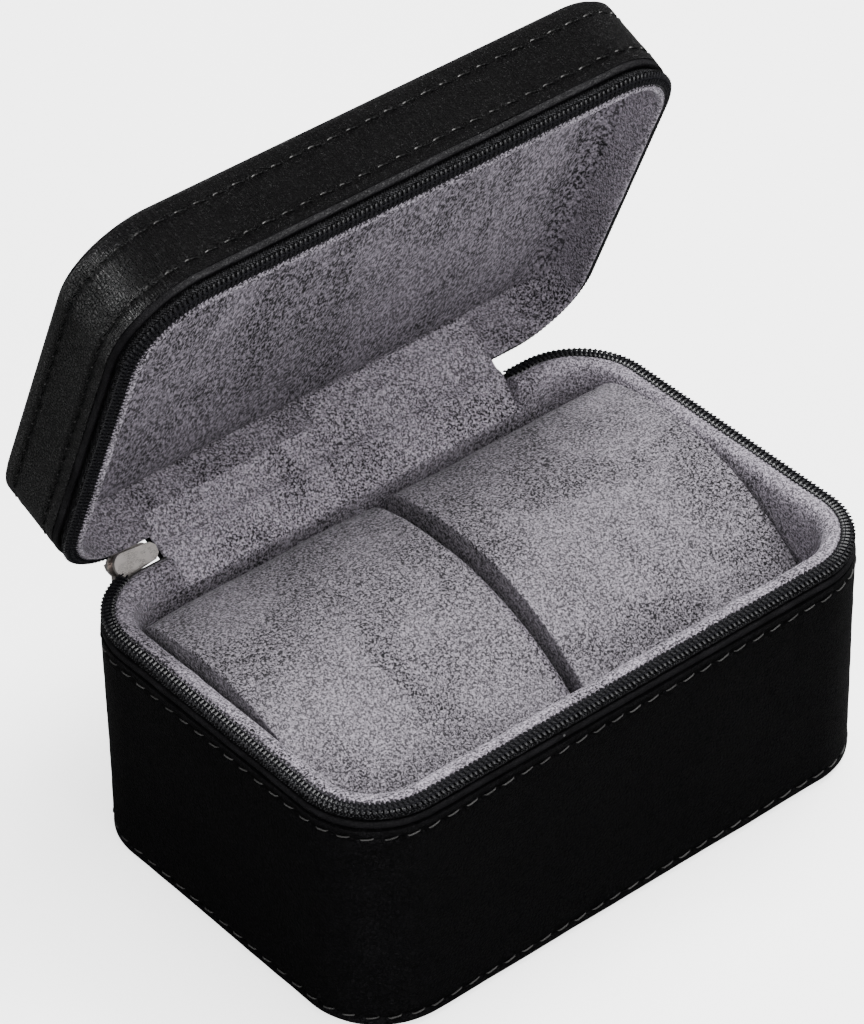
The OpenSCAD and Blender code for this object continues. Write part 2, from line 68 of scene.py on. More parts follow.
@dataclass(frozen=True)
class CaseSizes:
    """Sizes that more than one piece needs, and the rounded outline seen from above.

    The outline is walked clockwise from the middle of the back.
    """

    length: float = 132.0
    width: float = 89.0
    corner: float = 17.0
    base_h: float = 51.5
    lid_h: float = 18.0
    zip_zone: float = 6.6
    open_deg: float = 67.5
    roll_h: float = 1.6
    hinge_half: float = 43.0
    zip_right: float = 43.4
    zip_left: float = -53.6
    hinge_y: float = 45.3
    hinge_z: float = 51.6

    @property
    def around(self) -> float:
        """Length of the whole outline."""
        return 2 * (self.length + self.width) - 8 * self.corner + 2 * np.pi * self.corner

    @property
    def closed_h(self) -> float:
        """Height of the closed case."""
        return self.base_h + self.zip_zone + self.lid_h

    def at(self, s: Array) -> tuple[Array, Array]:
        """Points and outward normals of the outline.

        A straight run moves from its anchor along the tangent; a corner keeps its centre as
        anchor and turns the normal by the path length over the radius.

        Args:
            s: Path lengths from the middle of the back, of any value.

        Returns:
            The points and the unit normals, each with a last axis of x and y.
        """
        r = self.corner
        a, b = self.length / 2 - r, self.width / 2 - r
        q = np.pi * r / 2
        runs = np.array([a, q, 2 * b, q, 2 * a, q, 2 * b, q, a])
        anchors = np.array([(0, b + r), (a, b), (a + r, b), (a, -b), (a, -b - r),
                            (-a, -b), (-a - r, -b), (-a, b), (-a, b + r)])
        angles = np.pi / 2 * np.array([1, 1, 0, 0, -1, -1, -2, -2, -3])
        bends = np.array([0, 1, 0, 1, 0, 1, 0, 1, 0])
        starts = np.concatenate(([0], np.cumsum(runs)[:-1]))
        s = np.mod(s, runs.sum())
        k = np.clip(np.searchsorted(starts, s, side="right") - 1, 0, len(runs) - 1)
        u = s - starts[k]
        angle = angles[k] - bends[k] * u / r
        normal = np.stack([np.cos(angle), np.sin(angle)], -1)
        along = np.stack([normal[..., 1], -normal[..., 0]], -1)
        bend = bends[k][..., None]
        return anchors[k] + bend * r * normal + (1 - bend) * u[..., None] * along, normal

    def sweep(self, s: Array, depth: Array, height: Array) -> Array:
        """Carries a section round the case.

        Args:
            s: Path lengths, one per row.
            depth: Distances behind the leather face, per column or per row and column.
            height: Heights, per column or per row and column.

        Returns:
            Points of shape (rows, columns, 3).
        """
        point, normal = self.at(s)
        cols = np.broadcast(depth, height).shape[-1]
        depth = np.broadcast_to(depth, (len(s), cols))
        height = np.broadcast_to(height, (len(s), cols))
        xy = point[:, None] - depth[..., None] * normal[:, None]
        return np.concatenate([xy, height[..., None]], -1)

    def opened(self, points: Array) -> Array:
        """Turns points of the closed case about the hinge line to the open lid.

        Args:
            points: Points, last axis x, y and z.

        Returns:
            The points where the lid stands at rest.
        """
        a = np.radians(self.open_deg)
        y, z = points[..., 1] - self.hinge_y, points[..., 2] - self.hinge_z
        return np.stack([points[..., 0],
                         self.hinge_y + y * np.cos(a) + z * np.sin(a),
                         self.hinge_z - y * np.sin(a) + z * np.cos(a)], -1)

    def to_lid(self, points: Array) -> Array:
        """Carries a piece drawn with its rim upwards to the open lid."""
        return self.opened(points * np.array([1, 1, -1]) + np.array([0, 0, self.closed_h]))

    def hinge_share(self, s: Array, soft: float = 1.2) -> Array:
        """Weight of the stretch without zip: 1 inside it, falling softly to 0 at its ends."""
        gone = np.abs(np.mod(s + self.around / 2, self.around) - self.around / 2)
        return smooth_step((self.hinge_half - 0.05 - gone) / soft)


class Half(Enum):
    """The two halves of the case."""

    BASE = "base"
    LID = "lid"


@dataclass(frozen=True)
class HalfSizes:
    """Sizes of one half, drawn with its rim upwards.

    Heights are taken from the outer panel, and wall and coil_d from the leather face. The two
    profiles of the lining are a step between its three foot points, then offsets from the wall
    and the rim; the first is for most of the outline and the second for the hinge.
    """

    half: Half
    edge: float
    rim: float
    wall: float
    foot: float
    rows: tuple[float, float]
    roll_sink: float
    roll_power: float
    coil_d: float
    coil_lean: float
    coil_sink: float
    seed: int
    lining: tuple[tuple[float, Pairs], tuple[float, Pairs]]


CASE = CaseSizes()
BASE = HalfSizes(
    Half.BASE, edge=CASE.base_h, rim=54.5, wall=7.0, foot=5.4, rows=(3.0, 48.0), roll_sink=0.42,
    roll_power=1.0, coil_d=3.1, coil_lean=0.15, coil_sink=0.22, seed=11,
    lining=((14.0, [(0, -7), (-0.05, -4), (-0.35, -2.1), (-1.1, -0.7), (-2.2, -0.08),
                    (-3.1, 0), (-3.75, -0.16), (-4.25, -0.72)]),
            (14.0, [(0, -9), (0, -7.4), (-0.05, -6.6), (-0.3, -6.1), (-0.7, -5.95),
                    (-1, -6.15), (-1.2, -6.6), (-1.25, -7.1)])))
LID = HalfSizes(
    Half.LID, edge=CASE.lid_h, rim=21.3, wall=4.0, foot=10.2, rows=(4.2, 13.7), roll_sink=0.86,
    roll_power=0.55, coil_d=2.85, coil_lean=0.5, coil_sink=0.32, seed=13,
    lining=((2.0, [(0, -4), (0, -2.3), (-0.04, -1.1), (-0.16, -0.25), (-0.45, 0.18),
                   (-0.8, 0.14), (-1.15, -0.15), (-1.35, -0.72)]),
            (1.5, [(0, -6.2), (0, -5.2), (-0.05, -4.7), (-0.25, -4.4), (-0.5, -4.5),
                   (-0.7, -4.9), (-0.8, -5.4), (-0.82, -5.8)])))


# Surface helpers


def smooth_step(t: Array) -> Array:
    """Smooth rise from 0 at t = 0 to 1 at t = 1."""
    t = np.clip(t, 0, 1)
    return t * t * (3 - 2 * t)


def bump(x: Array, middle: float, width: float) -> Array:
    """Bell curve of height 1 round a middle."""
    return np.exp(-((x - middle) / width) ** 2)


def ripple(points: Array, size: float, seed: int, waves: int = 8) -> Array:
    """Handmade unevenness, about -1 to 1: a sum of sine waves in seeded directions.

    Args:
        points: Points in millimetres, last axis x, y, z.
        size: Mean wave length in millimetres.
        seed: Seed of the directions and phases.
        waves: Number of waves.

    Returns:
        One value per point.
    """
    rng = np.random.default_rng(seed)
    way = rng.normal(size=(waves, 3))
    way *= (2 * np.pi / size * rng.uniform(0.6, 1.5, waves) / np.linalg.norm(way, axis=1))[:, None]
    return np.sin(points @ way.T + rng.uniform(0, 2 * np.pi, waves)).sum(-1) / np.sqrt(waves)


def path_length(line: Array) -> Array:
    """Length gone at each point of a line."""
    return np.concatenate(([0], np.cumsum(np.linalg.norm(np.diff(line, axis=0), axis=1))))


def smooth_curve(knots: Array, count: int) -> Array:
    """Catmull-Rom curve through knots, evenly sampled by its parameter.

    Args:
        knots: Points, one per row.
        count: Number of samples.

    Returns:
        The samples, one per row.
    """
    knots = np.asarray(knots, float)
    p = np.vstack([2 * knots[0] - knots[1], knots, 2 * knots[-1] - knots[-2]])
    t = np.linspace(0, len(knots) - 1, count)
    k = np.minimum(t.astype(int), len(knots) - 2)
    u = (t - k)[:, None]
    a, b, c, d = p[k], p[k + 1], p[k + 2], p[k + 3]
    return 0.5 * (2 * b + (c - a) * u + (2 * a - 5 * b + 4 * c - d) * u ** 2
                  + (3 * b - a - 3 * c + d) * u ** 3)


def with_x(x: Array, yz: Array) -> Array:
    """Puts an x on each row of points in the y-z plane."""
    return np.concatenate([np.broadcast_to(x[:, None, None], yz.shape[:2] + (1,)), yz], -1)


def read_points(mesh: bpy.types.Mesh) -> Array:
    """Reads the points of a mesh.

    Args:
        mesh: The mesh.

    Returns:
        The points in metres, one per row.
    """
    co = np.zeros(len(mesh.vertices) * 3)
    mesh.vertices.foreach_get("co", co)
    return co.reshape(-1, 3)


def linked(name: str, data: Any) -> bpy.types.Object:
    """Makes an object and links it to the scene.

    Args:
        name: Name of the object.
        data: Its mesh, light or camera.

    Returns:
        The object.
    """
    made = bpy.data.objects.new(name, data)
    bpy.context.scene.collection.objects.link(made)
    return made


def shade_smooth(mesh: bpy.types.Mesh, crease: float) -> None:
    """Smooth faces, with sharp edges past an angle in degrees."""
    mesh.polygons.foreach_set("use_smooth", np.ones(len(mesh.polygons), bool))
    mesh.set_sharp_from_angle(angle=np.radians(crease))


def grid_piece(name: str, grid: Array, *, close_u: bool = False, close_v: bool = False,
               caps: bool = False, weld: bool = False, uv: tuple[Array, Array] | None = None,
               wear: Array | None = None, crease: float = 38.0) -> bpy.types.Object:
    """Turns a grid of points, or a stack of equal grids, into a quad mesh at the origin.

    Args:
        name: Name of the piece.
        grid: Points in millimetres, shape (rows, columns, 3) or (grids, rows, columns, 3).
        close_u: Joins the last row to the first.
        close_v: Joins the last column to the first.
        caps: Closes the first and the last row with a face each.
        weld: Merges points that coincide, for poles and tips.
        uv: Values along the rows and along the columns, one more of each where it is closed.
        wear: Rubbing at each point, from 0 to 1; on the stitches it is a painted highlight
            instead.
        crease: Angle in degrees past which an edge is sharp.

    Returns:
        The object, linked to the scene.
    """
    stack = grid if grid.ndim == 4 else grid[None]
    count, rows, cols = stack.shape[:3]
    first = np.arange(count)[:, None, None] * rows * cols
    iu = np.arange(rows if close_u else rows - 1)
    iv = np.arange(cols if close_v else cols - 1)
    a, b = (m.ravel() for m in np.meshgrid(iu, iv, indexing="ij"))
    ua = np.stack([a, a + 1, a + 1, a], -1)
    vb = np.stack([b, b, b + 1, b + 1], -1)
    faces = (first + (ua % rows) * cols + vb % cols).reshape(-1, 4).tolist()
    if caps:
        ring = np.arange(cols)
        ends = np.stack([ring[::-1], ring + (rows - 1) * cols])
        faces += (first + ends).reshape(-1, cols).tolist()
    mesh = bpy.data.meshes.new(name)
    mesh.from_pydata((stack.reshape(-1, 3) * MM).tolist(), [], faces)
    if uv is not None:
        flat = np.zeros((len(mesh.loops), 2), np.float32)
        pair = np.stack([uv[0][ua], uv[1][vb]], -1).reshape(-1, 2)
        flat[:len(pair) * count] = np.tile(pair, (count, 1))
        mesh.uv_layers.new(name="along").data.foreach_set("uv", flat.ravel())
    if wear is not None:
        mesh.attributes.new("wear", "FLOAT", "POINT").data.foreach_set(
            "value", np.broadcast_to(wear, stack.shape[:3]).astype(np.float32).ravel())
    shell = bmesh.new()
    shell.from_mesh(mesh)
    if weld:
        bmesh.ops.remove_doubles(shell, verts=shell.verts, dist=2e-6)
    bmesh.ops.recalc_face_normals(shell, faces=shell.faces)
    shell.to_mesh(mesh)
    shell.free()
    shade_smooth(mesh, crease)
    return linked(name, mesh)


def tubes(paths: Array, side: Array, up: Array, radius: Array, sides: int) -> Array:
    """Round tubes along paths: each path point plus radius times a turning mix of side and up.

    Args:
        paths: Points of shape (..., rows, 3).
        side: Unit vectors across the path, of the same shape.
        up: Unit vectors across the path and side, of the same shape.
        radius: Radius per point.
        sides: Points round the tube.

    Returns:
        Points of shape (..., rows, sides, 3).
    """
    turn = np.linspace(0, 2 * np.pi, sides, endpoint=False)
    ring = side[..., None, :] * np.cos(turn)[:, None] + up[..., None, :] * np.sin(turn)[:, None]
    return paths[..., None, :] + np.asarray(radius)[..., None, None] * ring


def threads(s: Array, lift: Array, z: Array, radius: Array, sides: int) -> Array:
    """Tubes that follow the outline: each path point is lifted along the outward normal.

    Args:
        s: Path lengths, shape (..., rows).
        lift: Distances off the leather face, negative behind it.
        z: Heights, of the shape of s.
        radius: Radius per point.
        sides: Points round the tube.

    Returns:
        Points of shape (..., rows, sides, 3), for the case as drawn.
    """
    point, normal = CASE.at(s)
    path = np.concatenate([point + lift[..., None] * normal, z[..., None]], -1)
    out = np.concatenate([normal, np.zeros(s.shape + (1,))], -1)
    up = np.broadcast_to([0.0, 0.0, 1.0], out.shape)
    return tubes(path, out, up, radius, sides)


# Shader helpers


def operator(kind: str, swap: bool = False) -> Callable[["Signal", Any], "Signal"]:
    """Makes an operator that places a Math node.

    Args:
        kind: Operation of the node.
        swap: Puts the other value first.

    Returns:
        A method of Signal.
    """
    def place(one: "Signal", other: Any) -> "Signal":
        """Result of the node on a signal and another signal or a number."""
        return one.graph.math(kind, *((other, one) if swap else (one, other)))
    return place


@dataclass(frozen=True)
class Signal:
    """An output socket in a graph; arithmetic with it places Math nodes."""

    graph: "Graph"
    socket: bpy.types.NodeSocket

    __add__ = operator("ADD")
    __sub__ = operator("SUBTRACT")
    __rsub__ = operator("SUBTRACT", swap=True)
    __mul__ = operator("MULTIPLY")


@dataclass(frozen=True)
class Graph:
    """Places shader nodes in one tree and wires them by socket name or number."""

    tree: bpy.types.NodeTree

    def put(self, kind: str, inputs: dict[str | int, Any] | None = None,
            **settings: Any) -> bpy.types.Node:
        """Adds a node.

        Args:
            kind: Node type without the ShaderNode prefix.
            inputs: Values or signals by input name or number.
            settings: Properties of the node.

        Returns:
            The node.
        """
        node = self.tree.nodes.new("ShaderNode" + kind)
        for key, value in settings.items():
            setattr(node, key, value)
        self.feed(node, inputs or {})
        return node

    def feed(self, node: bpy.types.Node, inputs: dict[str | int, Any]) -> None:
        """Links the signals among some inputs and sets the constants.

        Args:
            node: The node to feed.
            inputs: Values or signals by input name or number.
        """
        for key, value in inputs.items():
            if isinstance(value, Signal):
                self.tree.links.new(value.socket, node.inputs[key])
            else:
                node.inputs[key].default_value = value

    def take(self, kind: str, output: str | int, inputs: dict[str | int, Any] | None = None,
             **settings: Any) -> Signal:
        """One output of a new node."""
        return Signal(self, self.put(kind, inputs, **settings).outputs[output])

    def math(self, operation: str, *values: Any, clamp: bool = False) -> Signal:
        """Result of a Math node."""
        return self.take("Math", 0, dict(enumerate(values)), operation=operation, use_clamp=clamp)

    def span(self, value: Any, low: float, high: float, to_low: float = 0.0,
             to_high: float = 1.0) -> Signal:
        """Smooth step of a value from one range to another."""
        return self.take("MapRange", 0, {0: value, 1: low, 2: high, 3: to_low, 4: to_high},
                         interpolation_type="SMOOTHSTEP")

    def noise(self, vector: Signal, scale: Any, detail: float = 2.0, rough: float = 0.5,
              warp: float = 0.0) -> Signal:
        """Value of a Noise texture."""
        return self.take("TexNoise", "Fac", {"Vector": vector, "Scale": scale, "Detail": detail,
                                             "Roughness": rough, "Distortion": warp})

    def blend(self, share: Signal, a: Any, b: Any) -> Signal:
        """Mix of two colours."""
        return self.take("Mix", 2, {0: share, 6: a, 7: b}, data_type="RGBA")

    def place(self) -> Signal:
        """Object coordinates, in metres."""
        return self.take("TexCoord", "Object")

    def along(self) -> Signal:
        """The piece's own map, in millimetres along and across it."""
        return self.take("UVMap", 0, uv_map="along")

    def wear(self) -> Signal:
        """The piece's own wear value: rubbing on leather, a painted highlight on thread."""
        return self.take("Attribute", "Fac", attribute_name="wear")

    def relief(self, height: Signal, depth: float) -> Signal:
        """Normal from a height, in metres of depth."""
        return self.take("Bump", 0, {"Height": height, "Distance": depth, "Strength": 1.0})


Outputs = dict[str, Signal]


@dataclass(frozen=True)
class Effect:
    """A surface effect that several finishes share, built once as a node group."""

    title: str
    inputs: dict[str, float | None]
    wire: Callable[..., Outputs]

    def tree(self) -> bpy.types.NodeTree:
        """Makes the node group on first use. An input without a value is a vector.

        Returns:
            The group.
        """
        found = bpy.data.node_groups.get(self.title)
        if found:
            return found
        tree = bpy.data.node_groups.new(self.title, "ShaderNodeTree")
        for name, value in self.inputs.items():
            kind = "NodeSocketVector" if value is None else "NodeSocketFloat"
            socket = tree.interface.new_socket(name=name, in_out="INPUT", socket_type=kind)
            if value is not None:
                socket.default_value = value
        graph = Graph(tree)
        source = tree.nodes.new("NodeGroupInput").outputs
        results = self.wire(graph, *(Signal(graph, source[name]) for name in self.inputs))
        for name in results:
            tree.interface.new_socket(name=name, in_out="OUTPUT", socket_type="NodeSocketFloat")
        graph.feed(tree.nodes.new("NodeGroupOutput"), results)
        return tree

    def __call__(self, graph: Graph, **values: Any) -> Outputs:
        """Places the group in a material.

        Args:
            graph: The material's graph.
            values: Values or signals by input name.

        Returns:
            The outputs of the placed group by name.
        """
        node = graph.put("Group")
        node.node_tree = self.tree()
        graph.feed(node, values)
        return {socket.name: Signal(graph, socket) for socket in node.outputs}


def effect(title: str, **inputs: float | None) -> Callable[[Callable[..., Outputs]], Effect]:
    """Makes an effect of the function that wires it."""
    return lambda wire: Effect(title, inputs, wire)


@effect("Pebble grain", Vector=None, Cells=1000.0, Wrinkles=0.4)
def pebble_grain(graph: Graph, vector: Signal, cells: Signal, wrinkles: Signal) -> Outputs:
    """Pebbled leather: warped cells with valleys between them, fine pores, short wrinkles.

    Height is the cells and pores less a ridged noise for the wrinkles.

    Args:
        graph: The group's graph.
        vector: Object coordinates.
        cells: Scale of the cells.
        wrinkles: Depth of the wrinkles.

    Returns:
        The height, the valleys between cells and a soft patch.
    """
    warp = graph.take("TexNoise", "Color", {"Vector": vector, "Scale": 420.0, "Detail": 2.0})
    moved = graph.take("VectorMath", 0, {0: warp, 1: (0.5, 0.5, 0.5)}, operation="SUBTRACT")
    small = graph.take("VectorMath", 0, {0: moved, 3: 0.0009}, operation="SCALE")
    place = graph.take("VectorMath", 0, {0: vector, 1: small}, operation="ADD")
    cell = graph.take("TexVoronoi", "Distance", {"Vector": place, "Scale": cells},
                      feature="DISTANCE_TO_EDGE")
    pebble = graph.span(cell, 0.0, 0.22)
    fine = graph.noise(place, 5200.0, 3.0, 0.6)
    ridge = graph.math("ABSOLUTE", graph.noise(place, 850.0, 4.0, 0.65) - 0.5)
    wrinkle = graph.span(ridge, 0.0, 0.06, 1.0, 0.0) * wrinkles
    return {"Height": pebble * 0.4 + fine * 0.35 - wrinkle, "Valley": 1.0 - pebble,
            "Patch": graph.noise(vector, 55.0, 3.0)}


@effect("Suede nap", Vector=None, Fibres=3200.0, Patches=45.0)
def suede_nap(graph: Graph, vector: Signal, fibres: Signal, patches: Signal) -> Outputs:
    """Brushed suede: two scales of fibre speckle over patches where the nap lies another way.

    Args:
        graph: The group's graph.
        vector: Object coordinates.
        fibres: Scale of the fibres.
        patches: Scale of the patches.

    Returns:
        The tone of the colour, the height and the fuzz of the patches.
    """
    fibre = graph.noise(vector, fibres, 1.0, 0.6)
    speck = graph.noise(vector, fibres * 0.7, 1.0, 0.6)
    brushed = graph.span(graph.noise(vector, patches, 3.0, 0.55, 0.8), 0.34, 0.68)
    mottle = graph.span(fibre, 0.46, 0.60) * 0.55 + graph.span(speck, 0.46, 0.60) * 0.45
    return {"Tone": mottle * 0.82 + brushed * 0.18, "Height": fibre * 0.6 + speck * 0.6,
            "Fuzz": brushed}


@effect("Woven tape", Vector=None, Threads=1.6, Band=0.6)
def woven_tape(graph: Graph, vector: Signal, count: Signal, band: Signal) -> Outputs:
    """Herringbone tape: slanted threads that change direction in bands, from the own map.

    A thread is the size of a sine along the tape, shifted by a zigzag across it.

    Args:
        graph: The group's graph.
        vector: The piece's own map.
        count: Threads per millimetre.
        band: Width of a band in millimetres.

    Returns:
        The height and the threads.
    """
    part = graph.put("SeparateXYZ", {0: vector}).outputs
    along, across = Signal(graph, part[0]), Signal(graph, part[1])
    slant = along * count + graph.math("PINGPONG", across, band) * 1.6
    thread = graph.math("ABSOLUTE", graph.math("SINE", slant * np.pi))
    edge = graph.math("PINGPONG", across + 0.2, band)
    return {"Height": thread * graph.span(edge, 0.0, 0.12, 0.4, 1.0), "Thread": thread}


@effect("Lint", Vector=None, Specks=260.0, Amount=0.25)
def lint(graph: Graph, vector: Signal, specks: Signal, amount: Signal) -> Outputs:
    """Sparse pale specks of lint and dust: small discs in randomly chosen cells.

    Args:
        graph: The group's graph.
        vector: Object coordinates.
        specks: Scale of the cells.
        amount: Share of cells with a speck.

    Returns:
        The mask of the specks.
    """
    cell = graph.put("TexVoronoi", {"Vector": vector, "Scale": specks}, feature="F1").outputs
    dot = graph.span(Signal(graph, cell["Distance"]), 0.03, 0.06, 1.0, 0.0)
    pick = graph.take("SeparateColor", 0, {0: Signal(graph, cell["Color"])})
    return {"Mask": dot * graph.math("LESS_THAN", pick, amount)}


@effect("Rubbing", Vector=None, Wear=0.0)
def rubbing(graph: Graph, vector: Signal, wear: Signal) -> Outputs:
    """Rubbing from handling: the wear value broken up by a soft blotch.

    Args:
        graph: The group's graph.
        vector: Object coordinates.
        wear: Rubbing, from 0 to 1.

    Returns:
        The mask of the rubbed places.
    """
    blotch = graph.span(graph.noise(vector, 160.0, 4.0, 0.6), 0.35, 0.7, 0.35, 1.0)
    return {"Mask": graph.math("MULTIPLY", wear, blotch, clamp=True)}


# Finishes


def rgb(r: float, g: float, b: float) -> Colour:
    """Opaque linear colour."""
    return (r, g, b, 1.0)


@dataclass(frozen=True)
class Finish(ABC):
    """A finish that becomes one material."""

    title: str

    def material(self) -> bpy.types.Material:
        """Makes the material on first use.

        Returns:
            The material.
        """
        found = bpy.data.materials.get(self.title)
        if found:
            return found
        made = bpy.data.materials.new(self.title)
        made.use_nodes = True
        made.node_tree.nodes.clear()
        graph = Graph(made.node_tree)
        graph.put("OutputMaterial", {0: graph.take("BsdfPrincipled", 0, self.wire(graph))})
        return made

    @abstractmethod
    def wire(self, graph: Graph) -> dict[str, Any]:
        """Places the nodes and gives the shader's inputs by name.

        Args:
            graph: The material's graph.

        Returns:
            The shader's inputs by name.
        """


@dataclass(frozen=True)
class Leather(Finish):
    """Black pebbled leather with a satin top coat."""

    body: Colour = rgb(0.0034, 0.0032, 0.0038)
    deep: Colour = rgb(0.0012, 0.0012, 0.0014)
    worn: Colour = rgb(0.012, 0.0115, 0.013)
    cells: float = 1250.0
    wrinkles: float = 0.8
    streaks: float = 0.0
    depth: float = 0.00034
    rough: tuple[float, float] = (0.30, 0.50)
    specular: float = 0.10

    def wire(self, graph: Graph) -> dict[str, Any]:
        """Grain in the normal, duller valleys, paler rubbed edges and a little lint.

        Args:
            graph: The material's graph.

        Returns:
            The shader's inputs by name.
        """
        place = graph.place()
        grain = pebble_grain(graph, Vector=place, Cells=self.cells, Wrinkles=self.wrinkles)
        rub = rubbing(graph, Vector=place, Wear=graph.wear())["Mask"]
        specks = lint(graph, Vector=place, Specks=170.0, Amount=0.04)["Mask"]
        skin = graph.blend(grain["Valley"], self.body, self.deep)
        shade = graph.blend(rub * 0.8, skin, self.worn)
        low, high = self.rough
        dull = grain["Valley"] * 0.10 + graph.span(grain["Patch"], 0.3, 0.7, low, high - 0.1)
        height = grain["Height"]
        if self.streaks:
            drawn = graph.take("Mapping", 0, {"Vector": graph.along(), "Scale": (2.2, 0.35, 1.0)})
            streak = graph.span(graph.noise(drawn, 1.0, 3.0, 0.65), 0.35, 0.65)
            height = height + streak * self.streaks
        return {"Base Color": graph.blend(specks * 0.35, shade, rgb(0.2, 0.2, 0.2)),
                "Roughness": dull - rub * 0.12, "Specular IOR Level": self.specular,
                "Normal": graph.relief(height, self.depth)}


@dataclass(frozen=True)
class Suede(Finish):
    """Grey suede with a short nap."""

    dark: Colour = rgb(0.003, 0.0028, 0.0034)
    light: Colour = rgb(0.405, 0.367, 0.428)
    fibres: float = 2600.0
    patches: float = 60.0
    depth: float = 0.00045
    sheen: float = 0.12
    lay: tuple[float, float, float] = (1.0, 1.0, 1.0)

    def wire(self, graph: Graph) -> dict[str, Any]:
        """Speckled colour that drifts with the nap, and a soft sheen.

        Args:
            graph: The material's graph.

        Returns:
            The shader's inputs by name.
        """
        place = graph.take("Mapping", 0, {"Vector": graph.place(), "Scale": self.lay})
        nap = suede_nap(graph, Vector=place, Fibres=self.fibres, Patches=self.patches)
        specks = lint(graph, Vector=place, Specks=240.0, Amount=0.10)["Mask"]
        tone = graph.blend(nap["Tone"], self.dark, self.light)
        return {"Base Color": graph.blend(specks * 0.5, tone, rgb(0.5, 0.5, 0.5)),
                "Roughness": graph.span(nap["Fuzz"], 0.0, 1.0, 0.98, 0.86),
                "Specular IOR Level": 0.25, "Sheen Weight": self.sheen,
                "Sheen Roughness": 0.45, "Sheen Tint": rgb(0.85, 0.85, 0.9),
                "Normal": graph.relief(nap["Height"], self.depth)}


@dataclass(frozen=True)
class Tape(Finish):
    """Black woven zip tape."""

    dark: Colour = rgb(0.002, 0.002, 0.0024)
    light: Colour = rgb(0.040, 0.040, 0.043)

    def wire(self, graph: Graph) -> dict[str, Any]:
        """Herringbone threads that follow the tape.

        Args:
            graph: The material's graph.

        Returns:
            The shader's inputs by name.
        """
        weave = woven_tape(graph, Vector=graph.along())
        fuzz = graph.span(graph.noise(graph.place(), 2300.0, 2.0, 0.7), 0.42, 0.62)
        strand = graph.span(weave["Thread"], 0.45, 1.0) * fuzz
        return {"Base Color": graph.blend(strand, self.dark, self.light),
                "Roughness": graph.span(weave["Thread"], 0.0, 1.0, 0.9, 0.5),
                "Specular IOR Level": 0.06, "Normal": graph.relief(weave["Height"], 0.0003)}


@dataclass(frozen=True)
class Nylon(Finish):
    """Black nylon of the coil and its sewing thread."""

    body: Colour
    rough: float
    specular: float

    def wire(self, graph: Graph) -> dict[str, Any]:
        """Plain dark plastic with fine scratches.

        Args:
            graph: The material's graph.

        Returns:
            The shader's inputs by name.
        """
        haze = graph.noise(graph.place(), 2600.0, 3.0, 0.6)
        pale = tuple(min(1.0, 2.2 * c) for c in self.body)
        return {"Base Color": graph.blend(graph.span(haze, 0.35, 0.75), self.body, pale),
                "Roughness": graph.span(haze, 0.3, 0.7, self.rough, self.rough + 0.18),
                "Specular IOR Level": self.specular, "Normal": graph.relief(haze, 0.00002)}


@dataclass(frozen=True)
class Thread(Finish):
    """Waxed black thread with a painted highlight that makes it pale."""

    dark: Colour = rgb(0.002, 0.002, 0.0022)
    # Colour of the painted highlight on the thread.
    pale: Colour = rgb(0.32, 0.315, 0.31)

    def wire(self, graph: Graph) -> dict[str, Any]:
        """Twisted ply, paler with the piece's own wear value, here a painted highlight.

        Args:
            graph: The material's graph.

        Returns:
            The shader's inputs by name.
        """
        ply = graph.take("TexWave", "Fac", {"Vector": graph.place(), "Scale": 900.0,
                                            "Distortion": 1.0}, bands_direction="DIAGONAL")
        return {"Base Color": graph.blend(graph.wear(), self.dark, self.pale),
                "Roughness": graph.span(ply, 0.0, 1.0, 0.5, 0.36),
                "Specular IOR Level": 0.12, "Normal": graph.relief(ply, 0.00010)}


@dataclass(frozen=True)
class BrushedSteel(Finish):
    """Brushed steel of the slider and its pull."""

    # The pinkish tint of the body colour is a painted reflection tint.
    body: Colour = rgb(0.88, 0.82, 0.79)

    def wire(self, graph: Graph) -> dict[str, Any]:
        """Long fine scratches in colour, gloss and normal.

        Args:
            graph: The material's graph.

        Returns:
            The shader's inputs by name.
        """
        place = graph.place()
        drawn = graph.take("Mapping", 0, {"Vector": place, "Scale": (1.0, 9.0, 9.0)})
        brush = graph.noise(drawn, 1500.0, 4.0, 0.7)
        smudge = graph.span(graph.noise(place, 320.0, 2.0), 0.4, 0.7, 0.0, 0.1)
        dark = rgb(*(0.72 * c for c in self.body[:3]))
        return {"Base Color": graph.blend(brush, dark, self.body), "Metallic": 1.0,
                "Roughness": graph.span(brush, 0.2, 0.8, 0.20, 0.36) + smudge,
                "Normal": graph.relief(brush, 0.000005)}


@dataclass(frozen=True)
class Board(Finish):
    """Black fibre board of the trays."""

    def wire(self, graph: Graph) -> dict[str, Any]:
        """Matted fibres.

        Args:
            graph: The material's graph.

        Returns:
            The shader's inputs by name.
        """
        mat = graph.noise(graph.place(), 700.0, 5.0, 0.7)
        dark, pale = rgb(0.010, 0.009, 0.009), rgb(0.028, 0.026, 0.025)
        return {"Base Color": graph.blend(mat, dark, pale),
                "Roughness": graph.span(mat, 0.2, 0.8, 0.95, 0.75),
                "Normal": graph.relief(mat, 0.0001)}


@dataclass(frozen=True)
class Foam(Finish):
    """Open-cell foam."""

    def wire(self, graph: Graph) -> dict[str, Any]:
        """Round cells.

        Args:
            graph: The material's graph.

        Returns:
            The shader's inputs by name.
        """
        cell = graph.take("TexVoronoi", "Distance", {"Vector": graph.place(), "Scale": 1700.0})
        dark, pale = rgb(0.45, 0.44, 0.40), rgb(0.74, 0.73, 0.69)
        return {"Base Color": graph.blend(cell, dark, pale),
                "Roughness": graph.span(cell, 0.0, 0.6, 1.0, 0.85),
                "Normal": graph.relief(cell, 0.0002)}


